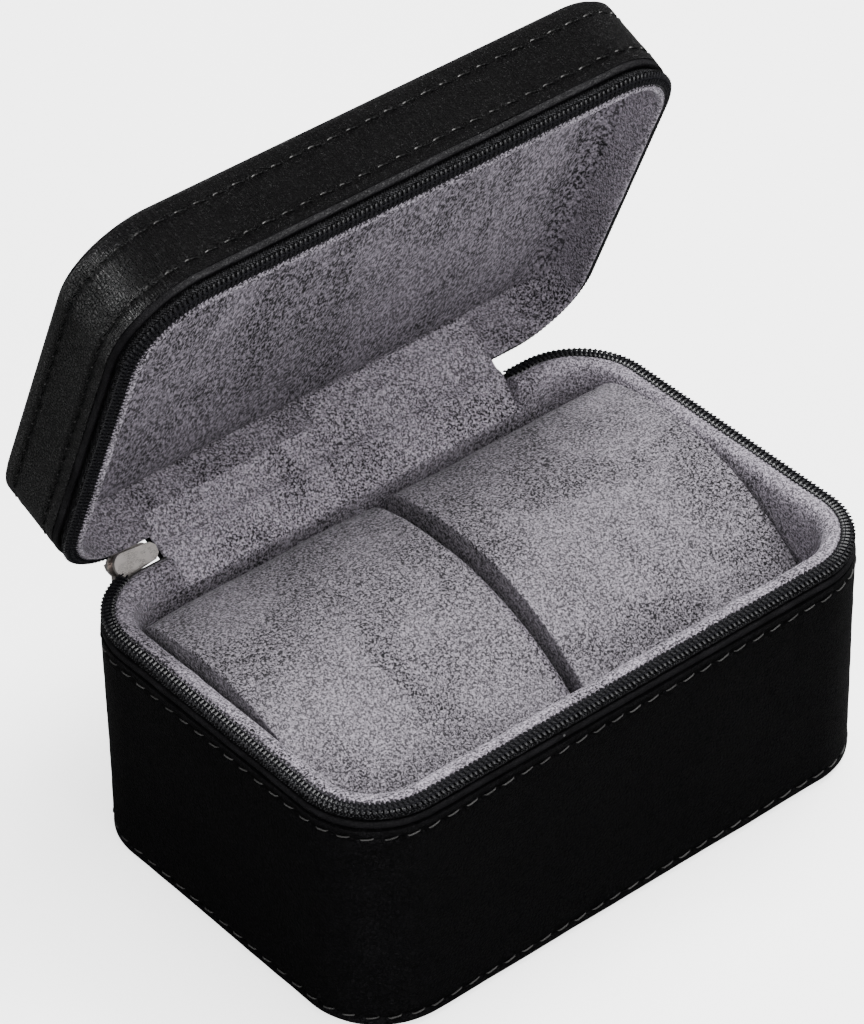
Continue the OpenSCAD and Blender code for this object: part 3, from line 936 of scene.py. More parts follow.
LEATHER = Leather("black pebbled leather", streaks=0.15, specular=0.08)
# The lid's copy of the leather has a lighter, more purple body colour than the base's: painted
# sheen.
LIT_LID_LEATHER = Leather("black pebbled lid leather", streaks=0.9, specular=0.34, depth=0.0009,
                      rough=(0.21, 0.37), body=rgb(0.0044, 0.0038, 0.0044))
PANEL_LEATHER = Leather("black panel leather", wrinkles=0.2, cells=1050.0)
EDGE_LEATHER = Leather("rolled edge leather", cells=1500.0, depth=0.00014, rough=(0.34, 0.48),
                       wrinkles=0.3, specular=0.08)
SUEDE = Suede("grey lining suede")
# Darker copy of the grey suede: painted shade on the lid's padded panel.
SHADED_LID_SUEDE = Suede("grey lid suede", light=rgb(0.280, 0.252, 0.299), fibres=2200.0,
                  lay=(1.0, 0.7, 0.5), patches=75.0, sheen=0.04)
# Lighter copy of the grey suede: painted light on the hinge strips, which lie in the lid's shade.
LIT_HINGE_SUEDE = Suede("grey hinge suede", light=rgb(0.56, 0.51, 0.59), patches=45.0)
# Darker copy of the grey suede: painted shade that tones down the light on the pillow tops.
SHADED_PILLOW_SUEDE = Suede("grey pillow suede", light=rgb(0.295, 0.271, 0.309), patches=45.0)
TAPE = Tape("woven zip tape")
COIL = Nylon("nylon coil", body=rgb(0.006, 0.006, 0.007), rough=0.18, specular=0.4)
THREAD = Thread("waxed thread")
SEWING = Nylon("sewing thread", body=rgb(0.004, 0.004, 0.005), rough=0.6, specular=0.05)
STEEL = BrushedSteel("brushed steel")
BOARD = Board("fibre board")
FOAM = Foam("open-cell foam")


def dress(piece: bpy.types.Object, finish: Finish, slot: str, body: str | None,
          *stands_for: str) -> None:
    """Gives a new piece its finish and body, and says which CAD nodes it stands for.

    Args:
        piece: The piece.
        finish: Its finish.
        slot: The record's material slot; not used.
        body: The body it rides on, or None to attach it to no body.
        stands_for: Names of CAD nodes.
    """
    piece.data.materials.clear()
    piece.data.materials.append(finish.material())
    if body:
        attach(piece, body)
    if stands_for:
        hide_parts(*stands_for)
    log.info("%s: %d faces, stands for %s", piece.name, len(piece.data.polygons),
             ", ".join(stands_for) or "nothing")


@dataclass(frozen=True)
class HalfPart:
    """A maker of pieces of one half, drawn with its rim upwards."""

    sizes: HalfSizes

    @property
    def is_base(self) -> bool:
        """Whether this is the base."""
        return self.sizes.half is Half.BASE

    def make(self, name: str, grid: Array, finish: Finish, slot: str, *nodes: str,
             **options: Any) -> None:
        """Carries a grid to the place of this half at rest and makes the dressed piece.

        Args:
            name: Name of the piece, without its half.
            grid: Points as drawn.
            finish: The finish.
            slot: The record's material slot.
            nodes: CAD nodes it stands for, without their half.
            options: Passed on to grid_piece.
        """
        half = self.sizes.half.value
        points = grid if self.is_base else CASE.to_lid(grid)
        piece = grid_piece(f"{half}_{name}", points, **options)
        dress(piece, finish, slot, half, *(f"{half}_{node}" for node in nodes))


# Leather


@dataclass(frozen=True)
class LeatherWrap(HalfPart):
    """Side wrap of one half with its rolled edge and its rows of stitches."""

    pitch_aim: float = 4.44
    groove: float = 0.16
    dimple: float = 0.16
    stitch_l: float = 2.9
    thread_r: float = 0.15
    foot_r: float = 1.6
    grid_step: float = 1.1
    inner_edge: float = 7.0
    puff: float = 0.07
    roll_d: float = 0.60
    roll_half: tuple[float, float] = (0.62, 0.82)
    thread_rise: float = 0.16
    thread_dive: float = 0.34

    @property
    def stitches(self) -> int:
        """Stitches in one row, a whole number round the case."""
        return round(CASE.around / self.pitch_aim)

    def swell(self, s: Array, z: Array, points: Array) -> Array:
        """Distance the leather stands out of its flat face.

        Grooves of a bell shape at the stitch rows, deeper at each needle hole, a soft roll
        above and below each row, and unevenness from making by hand.

        Args:
            s: Path lengths, one per row.
            z: Heights, one per column.
            points: Points of the flat face.

        Returns:
            One distance per row and column.
        """
        beat = (0.5 + 0.5 * np.cos(2 * np.pi * s / (CASE.around / self.stitches))) ** 3
        out = 0.09 * ripple(points, 26.0, 3) + 0.035 * ripple(points, 7.0, 4)
        for row in self.sizes.rows:
            hole = self.dimple * beat[:, None] * bump(z, row, 0.5)
            out = out - self.groove * bump(z, row, 0.42) - hole
            out = out + self.puff * (bump(z, row + 1.3, 0.7) + bump(z, row - 1.3, 0.7))
        return out

    def build_wrap(self) -> None:
        """Closed section carried round the case: rounded foot, outer face, hidden inner side."""
        foot, top = self.foot_r, self.sizes.edge - CASE.roll_h
        inner = self.sizes.edge - self.inner_edge
        rows = [row + np.linspace(-1.5, 1.5, 11) for row in self.sizes.rows]
        z = np.concatenate([np.arange(foot, top, self.grid_step), *rows, [top]])
        z = np.unique(np.round(z, 3))
        z = z[(z >= foot) & (z <= top)]
        turn = np.radians(np.linspace(-90, 0, 6)[:-1])
        depth = np.concatenate([1 - np.cos(turn), np.zeros(len(z)), [1.2, 1.2, 1.8, 1.8]])
        height = np.concatenate([foot + np.sin(turn), z, [top, inner, inner, 0.6]])
        s = np.linspace(0, CASE.around, 6 * self.stitches, endpoint=False)
        flat = CASE.sweep(s, depth, height)
        bend = len(turn)
        face = slice(bend, bend + len(z))
        out = np.zeros(flat.shape[:2])
        out[:, face] = self.swell(s, z, flat[:, face])
        out[:, :bend] = out[:, face][:, :1] * np.linspace(0, 1, bend)
        _, normal = CASE.at(s)
        corner = 1 - np.abs(np.abs(normal[:, :1]) - np.abs(normal[:, 1:]))
        wear = 0.25 * corner + 0.75 * bump(height, foot, 1.2) * (0.35 + 0.65 * corner)
        wear = np.clip(wear + 0.5 * bump(height, top, 1.0), 0, 1)
        uv = (np.append(s, CASE.around), np.append(height, height[0]))
        # The lid's wrap takes the leather copy with a painted sheen in its colour.
        self.make("leather", CASE.sweep(s, depth - out, height),
                  LEATHER if self.is_base else LIT_LID_LEATHER, "leather_body", "leather_wrap",
                  close_u=True, close_v=True, uv=uv, wear=wear)

    def build_roll(self) -> None:
        """Rolled edge: an egg-shaped section, a little uneven, ended at the hinge."""
        s = np.linspace(CASE.hinge_half, CASE.around - CASE.hinge_half, 420)
        a = np.linspace(0, 2 * np.pi, 24, endpoint=False)
        power = self.sizes.roll_power
        half_d, half_h = self.roll_half
        depth = self.roll_d - half_d * np.sign(np.cos(a)) * np.abs(np.cos(a)) ** power
        middle = self.sizes.edge - self.sizes.roll_sink
        height = middle + half_h * np.sign(np.sin(a)) * np.abs(np.sin(a)) ** power
        puff = 0.05 * ripple(CASE.sweep(s, depth, height), 14.0, 9) * np.cos(a).clip(0)
        self.make("rolled_edge", CASE.sweep(s, depth - puff, height), EDGE_LEATHER,
                  "leather_edge", "edge_roll", close_v=True, caps=True,
                  wear=0.25 + 0.6 * np.cos(a - 0.5).clip(0))

    def build_stitches(self) -> None:
        """Thread between needle holes: short tubes that rise out of one and dive into the next.

        Painted highlights: on the base the whole thread is a little pale, on the lid only the end
        of each stitch that dives in.
        """
        t = np.linspace(0, 1, 9)
        sway = 2 * t - 1
        starts = (np.arange(self.stitches) + 0.5) * (CASE.around / self.stitches)
        rng = np.random.default_rng(17)
        lift = self.thread_rise * np.sin(np.pi * t) ** 0.4 - self.thread_dive * sway ** 8 - 0.04
        radius = self.thread_r * (1 - 0.45 * sway ** 4) * np.ones((self.stitches, len(t)))
        groups = []
        for row in self.sizes.rows:
            jitter = rng.normal(0, 0.06, (self.stitches, 3))
            s = starts[:, None] + (t - 0.5) * self.stitch_l + jitter[:, :1]
            z = row - sway * (0.26 + jitter[:, 1:2]) + jitter[:, 2:] * 0.4
            groups.append(threads(s, lift, z, radius, 7))
        # Painted highlight on the thread: pale all along on the base, a painted glint at the
        # diving end on the lid.
        thread_glint = 0.13 + 0.08 * rng.random((len(groups) * self.stitches, 1))
        pale = thread_glint + 0 * t if self.is_base else 6.0 * thread_glint * sway.clip(0) ** 4
        self.make("stitches", np.concatenate(groups), THREAD, "zip_tape", close_v=True, caps=True,
                  wear=pale[..., None])


@dataclass(frozen=True)
class FlatPanel(HalfPart):
    """Bottom or top leather panel with a rounded edge."""

    def build(self) -> None:
        """Rings from the middle of the outer face over the edge to the middle of the back.

        A ring is the outline at its inset, scaled towards the middle by its way in.
        """
        s = np.linspace(0, CASE.around, 260, endpoint=False)
        inset = np.array([1.15] * 9 + [1.02, 1.0, 1.05] + [1.8] * 6)
        way = np.array([1, 0.9, 0.7, 0.5, 0.3, 0.15, 0.06, 0.02] + [0] * 6 + [0.1, 0.4, 0.8, 1])
        height = np.array([0.0] * 9 + [0.08, 0.3, 0.58, 0.6] + [1.38] * 5)
        grid = CASE.sweep(s, inset, height)
        grid[..., :2] *= (1 - way)[:, None]
        side = "bottom" if self.is_base else "top"
        self.make(side + "_leather", grid, PANEL_LEATHER, "leather_panel", side + "_panel",
                  close_u=True, weld=True, wear=0.7 * bump(way, 0.0, 0.04))


# Zip


@dataclass(frozen=True)
class ZipSide(HalfPart):
    """Tape, coil and sewing thread of one half."""

    pitch: float = 1.1
    wire_r: float = 0.29
    thick: float = 1.0
    per_turn: int = 12
    sewing_r: float = 0.18
    sewing_depths: tuple[float, float] = (0.98, 2.05)
    sewing_sink: float = 0.22
    sewing_sway: float = 0.08
    per_stitch: int = 6
    tape_sink: float = 0.65

    @property
    def coil_z(self) -> float:
        """Height of the middle of the coil."""
        return self.sizes.rim - (self.sizes.coil_sink + self.sizes.coil_lean)

    @property
    def ends(self) -> tuple[float, float]:
        """Ends of the teeth at the back: the left one lies on the corner's arc.

        Returns:
            Path lengths of the right and the left end.
        """
        corner = CASE.length / 2 - CASE.corner
        over = (-CASE.zip_left - corner) / CASE.corner
        return CASE.zip_right, CASE.around - corner - CASE.corner * np.arcsin(over)

    @property
    def turns(self) -> int:
        """Turns of the coil."""
        return int((self.ends[1] - self.ends[0]) / self.pitch)

    def build_tape(self) -> None:
        """Woven band behind the rolled edge, with its visible strip a little puffed."""
        edge = self.sizes.edge
        s = np.linspace(*self.ends, 420)
        top = self.sizes.rim - self.tape_sink
        low = top - 1.5 * self.sizes.coil_lean
        face = smooth_curve([(1.2, edge - 6.9), (1.2, edge - 3.0), (1.2, edge - 0.6),
                             (1.0, edge + 0.25), (0.6, edge + 0.75), (0.28, edge + 1.1),
                             (0.14, edge + 1.45), (0.3, low - 0.2), (0.8, low + 0.1),
                             (1.8, top - 0.05), (3.0, top)], 41)
        back = np.array([(3.0, top - 0.14), (1.76, top - 0.14), (1.76, edge - 6.9)])
        line = np.concatenate([face, back])
        gone = path_length(line)
        self.make("tape", CASE.sweep(s, *line.T), TAPE, "zip_tape", "zip_tape", close_v=True,
                  caps=True, uv=(s, np.append(gone, gone[-1])))

    def build_coil(self) -> None:
        """Nylon coil: a tube wound on a flat oval, thicker at the heads that mesh.

        The centre line goes round an oval in the plane across the tape while it moves along
        the outline by one pitch per turn.
        """
        step = np.arange(self.turns * self.per_turn + 1)
        phase = step * 2 * np.pi / self.per_turn
        s = self.ends[0] + self.wire_r + step * self.pitch / self.per_turn
        middle = self.sizes.coil_d / 2
        point, normal = CASE.at(s)
        radial = np.stack([np.cos(phase), np.sin(phase)], -1)
        depth = middle - (middle - self.wire_r) * radial[:, 0]
        height = (self.coil_z + (self.thick / 2 - self.wire_r) * radial[:, 1]
                  - self.sizes.coil_lean * radial[:, 0])
        path = np.concatenate([point - depth[:, None] * normal, height[:, None]], -1)
        side = np.concatenate([radial[:, :1] * normal, radial[:, 1:]], -1)
        along = np.stack([normal[:, 1], -normal[:, 0], np.zeros(len(step))], -1)
        radius = self.wire_r * (1 + 0.2 * (-radial[:, 0]).clip(0) ** 2)
        self.make("coil", tubes(path, side, along, radius, 6), COIL, "zip_coil", "zip_teeth",
                  close_v=True, caps=True)

    def build_sewing(self) -> None:
        """Two threads that hold the coil to its tape and dip between its turns."""
        t = np.arange(self.turns * self.per_stitch + 1)
        s = self.ends[0] + 0.5 + t * self.pitch / self.per_stitch
        phase = np.pi * t / (self.per_stitch // 2)
        radius = np.full(len(t), self.sewing_r)
        lines = []
        for depth in self.sewing_depths:
            slope = 1 - 2 * depth / self.sizes.coil_d
            z = self.coil_z - self.sizes.coil_lean * slope + self.thick / 2 - self.sewing_sink
            lines.append(threads(s, -(depth + self.sewing_sway * np.sin(phase)),
                                 z + self.sewing_sway * np.cos(phase), radius, 5))
        self.make("coil_sewing", np.stack(lines), SEWING, "zip_coil", close_v=True, caps=True)


@dataclass(frozen=True)
class Slider:
    """Slider or pull: a CAD solid with worn, rounded edges."""

    node: str
    body: str
    radius: float = 0.18

    def build(self) -> None:
        """Copy of the CAD solid, welded, cleaned of flat seams and bevelled."""
        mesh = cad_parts[self.node].data.copy()
        piece = linked(self.node.replace("zip_", "steel_"), mesh)
        shell = bmesh.new()
        shell.from_mesh(mesh)
        bmesh.ops.remove_doubles(shell, verts=shell.verts, dist=1e-6)
        bmesh.ops.dissolve_limit(shell, angle_limit=np.radians(1), verts=shell.verts,
                                 edges=shell.edges)
        shell.to_mesh(mesh)
        shell.free()
        bevel = piece.modifiers.new("rounded edges", "BEVEL")
        bevel.width = self.radius * MM
        bevel.segments = 3
        bevel.limit_method = "ANGLE"
        bevel.angle_limit = np.radians(40)
        shade_smooth(mesh, 45)
        dress(piece, STEEL, "slider_metal", self.body, self.node)


# Lining


@dataclass(frozen=True)
class WallLining(HalfPart):
    """Suede over one rim and down its wall, low along the hinge."""

    samples: int = 64
    thick: float = 0.75
    back_step: int = 8

    def profile(self, step: float, offsets: Pairs) -> Array:
        """Visible side of the skin from the foot to the outer top.

        Args:
            step: Distance between the three foot points.
            offsets: Depth and height of each further knot from the wall and the rim.

        Returns:
            Depths and heights, one pair per row.
        """
        size = self.sizes
        foot = [(size.wall, size.foot + k * step) for k in range(3)]
        return smooth_curve(foot + [(size.wall + d, size.rim + z) for d, z in offsets],
                            self.samples)

    def build(self) -> None:
        """Mixes the two profiles along the outline and closes the skin behind them."""
        size = self.sizes
        s = np.linspace(0, CASE.around, 720, endpoint=False)
        plain, low = (self.profile(*shape) for shape in size.lining)
        share = CASE.hinge_share(s)[:, None]
        depth, height = ((1 - share) * plain[:, k] + share * low[:, k] for k in (0, 1))
        flat = CASE.sweep(s, depth, height)
        tug = ripple(flat, 17.0, size.seed) * 0.12 + ripple(flat, 6.0, size.seed + 1) * 0.05
        depth = depth + tug * (1 - 0.5 * share) * np.linspace(0.4, 1, self.samples)
        back = slice(None, None, -self.back_step)
        back_d = np.minimum(depth[:, back] - self.thick, size.wall - 0.7).clip(1.82)
        back_z = height[:, back] - 0.35
        back_z[:, 0] -= 0.3
        depth = np.concatenate([depth, back_d], 1)
        height = np.concatenate([height, back_z.clip(height[:, :1].min())], 1)
        self.make("wall_suede", CASE.sweep(s, depth, height), SUEDE, "suede", "wall_lining",
                  close_u=True, close_v=True, crease=60)


@dataclass(frozen=True)
class LidPad:
    """Padded suede panel in the top of the lid."""

    wall: float = LID.wall
    face_z: float = 11.0
    under_z: float = 10.22
    puff: float = 0.5
    round_r: float = 6.0

    def build(self) -> None:
        """Rings that shrink to the middle; the face is a little uneven.

        Towards the hinge the face dips into a crease at its edge. On the other sides it rises
        to the wall along a circle about a centre one radius above the face.
        """
        s = np.linspace(0, CASE.around, 300, endpoint=False)
        way = np.linspace(0, 1, 44) ** 1.8 * 0.999
        flat = CASE.sweep(s, np.full(len(way), self.wall + 0.03), np.zeros(len(way)))
        point, normal = CASE.at(s)
        gap = way * ((point * normal).sum(-1) - self.wall)[:, None]
        flat[..., :2] *= (1 - way)[:, None]
        inside = (self.round_r - 0.8 - gap).clip(0)
        rise = self.round_r - np.sqrt(self.round_r ** 2 - inside ** 2)
        soft = smooth_step((0.95 - normal[:, 1]) / 0.5)[:, None]
        crown = self.puff * (1 - np.exp(-gap / 6))
        crease = crown - 0.9 * np.exp(-gap / 1.1)
        uneven = 0.22 * ripple(flat, 34.0, 21) + 0.07 * ripple(flat, 11.0, 22)
        flat[..., 2] = (self.face_z + (1 - soft) * crease + soft * (rise + crown)
                        + uneven * (1 - np.exp(-gap / 4)))
        under = flat.copy()
        under[..., 2] = self.under_z
        grid = CASE.to_lid(np.concatenate([flat[:, ::-1], under], 1))
        piece = grid_piece("lid_pad", grid, close_u=True, weld=True, crease=60)
        # The padded panel takes the darker copy of the suede, painted shade.
        dress(piece, SHADED_LID_SUEDE, "suede", "lid", "lid_panel_lining")


def on_lid(points: Pairs) -> Array:
    """Points of the closed case's side view, as y and z, carried to the open lid."""
    yz = np.asarray(points, float)
    return CASE.opened(np.column_stack([np.zeros(len(yz)), yz]))[:, 1:]


@dataclass(frozen=True)
class HingeSheet:
    """A strip of leather or suede that crosses the hinge, given by the line it follows.

    The line is given as y and z in the closed case's side view, first on the base and then on
    the lid, and so are the start and the end of the stretch that bends, which are not used.
    """

    name: str
    node: str
    finish: Finish
    slot: str
    on_base: Pairs
    on_lid: Pairs
    thick: float
    ends: tuple[float, float]
    wave: float
    seed: int
    start: tuple[float, float] = (44.3, 54.4)
    end: tuple[float, float] = (42.7, 52.7)
    sheet: bool = True

    def build(self) -> None:
        """A smooth curve in the plane across the hinge, thickened and drawn along it."""
        x = np.linspace(*self.ends, 110)
        line = smooth_curve(np.vstack([self.on_base, on_lid(self.on_lid)]), 56)
        step = np.gradient(line, axis=0)
        across = np.stack([step[:, 1], -step[:, 0]], -1)
        across /= np.linalg.norm(step, axis=1)[:, None]
        span = path_length(line)
        face = with_x(x, np.broadcast_to(line, (len(x),) + line.shape))
        calm = np.sin(np.pi * np.linspace(0, 1, len(line))) ** 0.5
        uneven = ripple(face, 15.0, self.seed) + 0.5 * ripple(face, 5.0, self.seed + 1)
        yz = line - (self.wave * uneven * calm)[..., None] * across
        behind = (line + across * self.thick)[::-1]
        ring = np.concatenate([yz, np.broadcast_to(behind, yz.shape)], 1)
        uv = (x, np.concatenate([span, span[::-1], span[:1]]))
        piece = grid_piece(self.name, with_x(x, ring), close_v=True, caps=True, uv=uv, crease=60)
        dress(piece, self.finish, self.slot, None, self.node)
        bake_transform(piece)


HINGE_SHEETS = (
    HingeSheet("hinge_spine", "hinge_leather", LEATHER, "leather_body",
               [(43.3, 49.9), (43.3, 51.0), (43.7, 52.4)],
               [(43.6, 56.6), (43.3, 58.2), (43.3, 59.6)],
               thick=1.2, ends=(-43.0, 43.0), wave=0.05, seed=71, start=(44.0, 51.7),
               end=(44.0, 57.6), sheet=False),
    # The hinge strips take the lighter copy of the suede, painted light.
    HingeSheet("hinge_suede", "hinge_lining", LIT_HINGE_SUEDE, "suede",
               [(37.5, 48.7), (39.6, 50.45), (42.0, 52.45), (44.2, 54.25)],
               [(42.75, 53.1), (42.0, 55.2), (40.5, 59.1)],
               thick=0.75, ends=(-42.9, 42.9), wave=0.10, seed=31),
    HingeSheet("hinge_flap_suede", "hinge_flap", LIT_HINGE_SUEDE, "suede",
               [(42.6, 53.5), (43.8, 54.5)],
               [(42.4, 53.3), (41.6, 55.3), (40.1, 59.2), (40.05, 62.0), (39.95, 65.0)],
               thick=0.45, ends=(0.0, 42.7), wave=0.06, seed=81),
)


# Pillows and divider


def arc(centre: Any, radius: float, start: float, stop: float, count: int) -> Array:
    """Points on an arc, angles in radians."""
    a = np.linspace(start, stop, count)
    return np.asarray(centre) + radius * np.stack([np.cos(a), np.sin(a)], -1)


@dataclass(frozen=True)
class Pillow:
    """A watch pillow: an arched pad with sewn edges round its two ends."""

    side: int
    inner_x: float = 2.2
    outer_x: float = 58.3
    half_w: float = 33.0
    crest_z: float = 56.1
    crest_y: float = 12.0
    arch_drop: float = 22.7
    edge_r: float = 9.0
    foot_r: float = 3.0
    foot: float = 6.3
    around: int = 120
    travel: float = 1.6
    bow: float = 0.35
    frames: int = 20
    seam_rise: float = 0.22
    seam_dip: float = 0.30
    pucker: float = 0.16
    middle: tuple[float, float] = (0.0, 27.0)
    shrink: tuple[float, ...] = (0.0, 0.25, 0.5, 0.72, 0.88, 0.965)

    def profile(self) -> Array:
        """Closed side outline, evenly spaced: a flat foot, upright ends and an arched top.

        Each rounding is an arc about its centre; the top is one large arc about a centre
        below the crest.

        Returns:
            Points as y and z, one per row.
        """
        hw, r, f = self.half_w, self.edge_r, self.foot_r
        reach = hw + self.crest_y
        big = (reach ** 2 + self.arch_drop ** 2) / (2 * self.arch_drop)
        c = np.array([self.crest_y, self.crest_z - big])
        front, back = (np.array([y, c[1] + np.sqrt((big - r) ** 2 - (y - c[0]) ** 2)])
                       for y in (-hw + r, hw - r))
        af, ab = (np.arctan2(*(end - c)[::-1]) for end in (front, back))
        low = self.foot + f
        line = np.concatenate([arc((-hw + f, low), f, 1.5 * np.pi, np.pi, 8),
                               arc(front, r, np.pi, af, 14), arc(c, big, af, ab, 40)[1:-1],
                               arc(back, r, ab, 0, 14), arc((hw - f, low), f, 0, -np.pi / 2, 8)])
        line = np.vstack([line, line[:1]])
        gone = path_length(line)
        t = np.linspace(0, gone[-1], self.around, endpoint=False)
        return np.stack([np.interp(t, gone, line[:, 0]), np.interp(t, gone, line[:, 1])], -1)

    def build(self) -> None:
        """Rings across the pillow, closed by shrinking rings at each end, blown up as cloth."""
        shrink = np.array(self.shrink)
        rings = len(shrink)
        band = np.linspace(0, 1, 30)
        length = self.outer_x - self.inner_x
        scale = np.concatenate([shrink, np.ones(len(band)), shrink[::-1]])
        x = np.concatenate([np.zeros(rings), band * length, np.full(rings, length)])
        bow = self.bow * (1 - shrink ** 2) - self.bow
        x = x - np.concatenate([bow, np.zeros(len(band)), -bow[::-1]])
        middle = np.array(self.middle)
        grid = with_x(x, middle + (self.profile() - middle) * scale[:, None, None])
        grid[..., 0] += self.inner_x
        if self.side < 0:
            grid[..., 0] *= -1
        seam = np.zeros(grid.shape[:2], bool)
        seam[[rings, -rings - 1]] = True
        name = "pillow_left" if self.side < 0 else "pillow_right"
        piece = grid_piece(name + "_suede", grid, close_v=True, crease=180)
        self.inflate(piece, seam.ravel())
        self.sew(piece.data, grid)
        level = piece.modifiers.new("smooth", "SUBSURF")
        level.levels = level.render_levels = 1
        # The pillows take the darker copy of the suede, painted shade.
        dress(piece, SHADED_PILLOW_SUEDE, "pillow_suede", name, name + "_cover")

    def inflate(self, piece: bpy.types.Object, seam: Array) -> None:
        """Lets cloth swell under pressure with its seams and its foot held, and caps the travel.

        Args:
            piece: The pillow.
            seam: True at each point of a seam.
        """
        before = read_points(piece.data)
        held = seam | (before[:, 2] < (self.foot + 2.0) * MM)
        group = piece.vertex_groups.new(name="held")
        group.add(np.flatnonzero(held).tolist(), 1.0, "REPLACE")
        cloth = piece.modifiers.new("cloth", "CLOTH")
        for key, value in {"quality": 6, "use_pressure": True, "uniform_pressure_force": 4.0,
                           "vertex_group_mass": "held", "tension_stiffness": 18,
                           "compression_stiffness": 18, "bending_stiffness": 0.4}.items():
            setattr(cloth.settings, key, value)
        cloth.settings.effector_weights.gravity = 0.0
        cloth.collision_settings.use_collision = False
        for step in range(1, self.frames + 1):
            bpy.context.scene.frame_set(step)
        shape = piece.evaluated_get(bpy.context.evaluated_depsgraph_get()).to_mesh()
        move = read_points(shape) - before
        piece.modifiers.remove(cloth)
        bpy.context.scene.frame_set(1)
        far = np.linalg.norm(move, axis=1, keepdims=True)
        log.info("%s swells by up to %.2f mm", piece.name, far.max() / MM)
        move *= np.minimum(1, self.travel * MM / np.maximum(far, 1e-9))
        move[:, 0] = np.clip(move[:, 0], -self.bow * MM, self.bow * MM)
        piece.data.vertices.foreach_set("co", (before + move).ravel())

    def sew(self, mesh: bpy.types.Mesh, grid: Array) -> None:
        """Raises the sewn edges and puckers the suede beside them.

        Each ring near a seam moves along its own direction from the middle: out on the seam,
        in beside it, with short waves that fade over five millimetres.

        Args:
            mesh: Mesh of the pillow.
            grid: Its points as drawn, before the cloth.
        """
        co = read_points(mesh).reshape(grid.shape) / MM
        across = np.abs(grid[..., 0])
        away = np.minimum(np.abs(across - self.inner_x), np.abs(across - self.outer_x))
        out = co[..., 1:] - np.array(self.middle)
        out /= np.linalg.norm(out, axis=-1, keepdims=True).clip(1e-6)
        rings = len(self.shrink)
        band = np.zeros(grid.shape[:2], bool)
        band[rings:-rings] = True
        gap = np.where(band, away, 99.0)
        wave = ripple(co, 5.5, 41 + self.side)
        lift = (self.seam_rise * bump(gap, 0.0, 0.8) - self.seam_dip * bump(gap, 2.0, 1.0)
                + self.pucker * wave * bump(gap, 2.5, 2.5))
        lift += np.where(band, self.pucker * ripple(co, 19.0, 51 + self.side), 0)
        lift = np.where(co[..., 2] < self.foot + 3.0, 0.0, lift)
        co[..., 1:] += lift[..., None] * out
        mesh.vertices.foreach_set("co", (co * MM).ravel())


@dataclass(frozen=True)
class Divider:
    """Suede-covered board between the pillows, its edges rounded by the cloth."""

    radius: float = 1.1
    foot_gap: float = 0.02
    uneven: float = 0.06

    def build(self) -> None:
        """A section carried along the ridge of the CAD skin."""
        low, high = (np.array(v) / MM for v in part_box("divider_lining"))
        co = read_points(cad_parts["divider_lining"].data) / MM
        skin = co[np.abs(co[:, 0] - high[0]) < 0.01]
        skin = skin[np.argsort(skin[:, 1])]
        top = skin[skin[:, 2] > low[2] + 1]
        y = np.linspace(low[1], high[1], 70)
        ridge = np.interp(y, top[:, 1], top[:, 2])
        t = high[0]
        a = np.linspace(0, np.pi, 13)
        width = np.concatenate([[t, t, t], t * np.cos(a), [-t, -t, -t]])
        rise = np.concatenate([[-99, -8, -3], self.radius * (np.sin(a) - 1), [-3, -8, -99]])
        z = np.maximum(ridge[:, None] + rise, low[2] + self.foot_gap)
        grid = np.stack([np.broadcast_to(width, z.shape),
                         np.broadcast_to(y[:, None], z.shape), z], -1)
        grid[..., 0] += self.uneven * ripple(grid, 14.0, 61) * np.sign(width) * (rise > -60)
        piece = grid_piece("divider_suede", grid, close_v=True, caps=True, crease=60)
        dress(piece, SUEDE, "suede", "base", "divider_lining")


# Stage


@dataclass(frozen=True)
class Lamp:
    """Soft box aimed at a point."""

    name: str
    place: tuple[float, float, float]
    size: tuple[float, float]
    power: float

    def build(self, focus: tuple[float, float, float]) -> None:
        """Makes the area light.

        Args:
            focus: The point it is aimed at.
        """
        data = bpy.data.lights.new(self.name, "AREA")
        data.shape = "RECTANGLE"
        data.size, data.size_y = self.size
        data.energy = self.power
        lamp = linked(self.name, data)
        lamp.location = self.place
        aim = Vector(focus) - Vector(self.place)
        lamp.rotation_euler = aim.to_track_quat("-Z", "Y").to_euler()


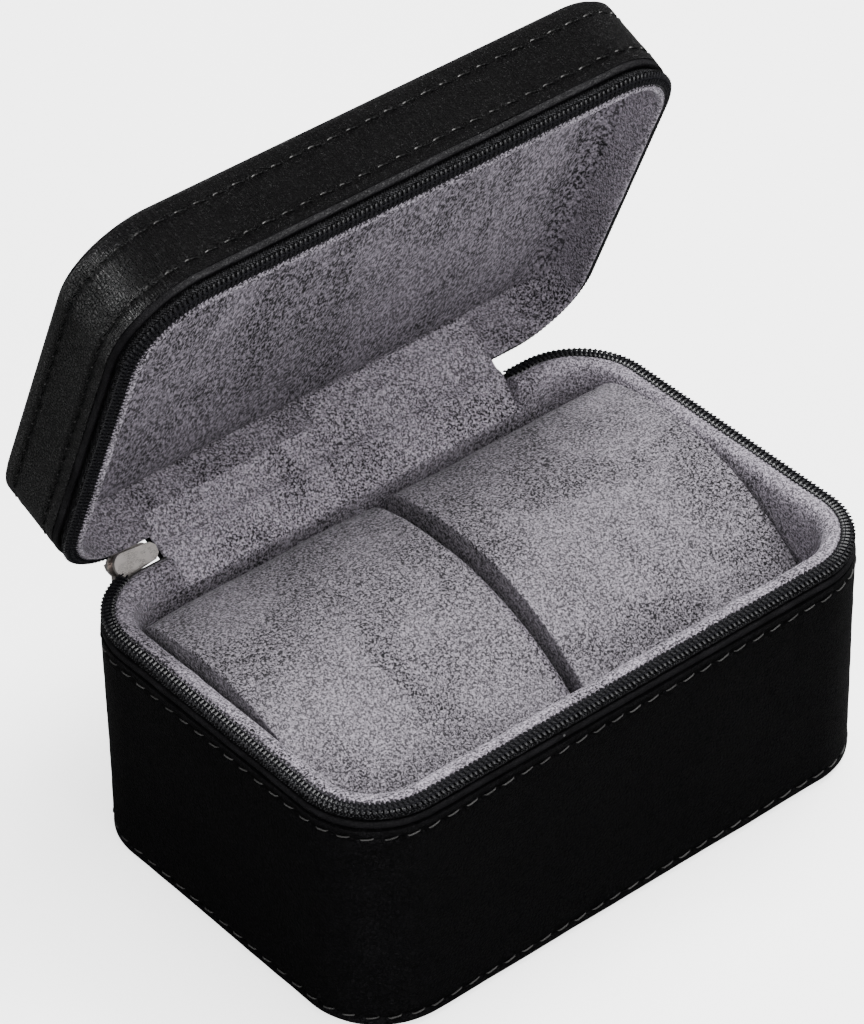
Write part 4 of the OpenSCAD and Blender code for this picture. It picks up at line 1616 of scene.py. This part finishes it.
@dataclass(frozen=True)
class Stage:
    """Camera, lights and the pale floor."""

    focus: tuple[float, float, float] = (0.0, 0.02, 0.05)
    eye: tuple[float, float, float] = (-0.48275, -0.57527, 0.67226)
    lens: float = 179.3
    lamps: tuple[Lamp, ...] = (
        Lamp("overhead", (0.32, 0.05, 1.15), (0.9, 0.9), 27.0),
        Lamp("front", (-0.3, -0.93, 0.82), (1.0, 0.7), 12.0),
        Lamp("left", (-0.9, 0.1, 0.72), (0.3, 0.3), 2.5),
        Lamp("sheen", (0.60, 0.05, 1.14), (0.4, 0.25), 9.0),
    )

    def camera(self) -> None:
        """Camera at the photograph's angle: rows are its right, down and forward directions."""
        rows = np.array([[0.7664, -0.64221, -0.0142], [-0.41116, -0.47344, -0.77897],
                         [0.49354, 0.60284, -0.6269]])
        u, _, vt = np.linalg.svd(rows)
        right, down, ahead = u @ vt
        data = bpy.data.cameras.new("view")
        data.lens = self.lens
        data.sensor_width = 36.0
        data.clip_start = 0.01
        data.clip_end = 20.0
        turn = np.eye(4)
        turn[:3] = np.stack([right, -down, -ahead, self.eye], -1)
        camera = linked("view", data)
        camera.matrix_world = Matrix(turn.tolist())
        bpy.context.scene.camera = camera

    def floor(self, side: float = 3.0, z: float = -0.00002) -> None:
        """Wide floor, white to the camera and dark to reflections, left out of the object.

        Args:
            side: Half the width of the floor in metres.
            z: Its height in metres, just below the case.
        """
        mesh = bpy.data.meshes.new("floor")
        mesh.from_pydata([(-side, -side, z), (side, -side, z), (side, side, z), (-side, side, z)],
                         [], [(0, 1, 2, 3)])
        paint = bpy.data.materials.new("pale floor")
        paint.use_nodes = True
        graph = Graph(paint.node_tree)
        ray = graph.put("LightPath").outputs
        glossy, seen = (Signal(graph, ray[f"Is {kind} Ray"]) for kind in ("Glossy", "Camera"))
        graph.feed(paint.node_tree.nodes["Principled BSDF"], {
            "Base Color": graph.blend(glossy, rgb(0.93, 0.93, 0.93), rgb(0.03, 0.03, 0.03)),
            "Roughness": 0.9, "Emission Color": rgb(1.0, 1.0, 1.0),
            "Emission Strength": seen * 2.2})
        mesh.materials.append(paint)
        linked("floor", mesh)

    def build(self) -> None:
        """Sets the stage."""
        self.camera()
        self.floor()
        for lamp in self.lamps:
            lamp.build(self.focus)
        world = bpy.data.worlds.new("studio")
        world.use_nodes = True
        graph = Graph(world.node_tree)
        glossy = graph.take("LightPath", "Is Glossy Ray")
        graph.feed(world.node_tree.nodes["Background"], {
            0: rgb(1.0, 1.0, 1.0), 1: graph.span(glossy, 0.0, 1.0, 0.32, 0.28)})
        bpy.context.scene.world = world


CARRIED: dict[Finish, tuple[str, ...]] = {
    BOARD: ("base_shell", "lid_shell", "divider_board"),
    FOAM: ("base_wall_padding", "base_floor_padding", "lid_padding", "pillow_left_core",
           "pillow_right_core"),
    SUEDE: ("base_floor_lining",),
}


def main() -> None:
    """Builds the case, piece by piece."""
    logging.basicConfig(level=logging.INFO, format="%(message)s")
    Stage().build()
    for sizes in (BASE, LID):
        wrap, side = LeatherWrap(sizes), ZipSide(sizes)
        for build in (wrap.build_wrap, wrap.build_roll, wrap.build_stitches,
                      FlatPanel(sizes).build, side.build_tape, side.build_coil,
                      side.build_sewing):
            build()
    for piece in (WallLining(BASE), WallLining(LID), LidPad(), *HINGE_SHEETS, Divider(),
                  Pillow(-1), Pillow(1), Slider("zip_slider", "base"),
                  Slider("zip_pull", "pull")):
        piece.build()
    for finish, nodes in CARRIED.items():
        for node in nodes:
            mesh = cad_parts[node].data
            mesh.materials.clear()
            mesh.materials.append(finish.material())


if __name__ == "__main__":
    main()
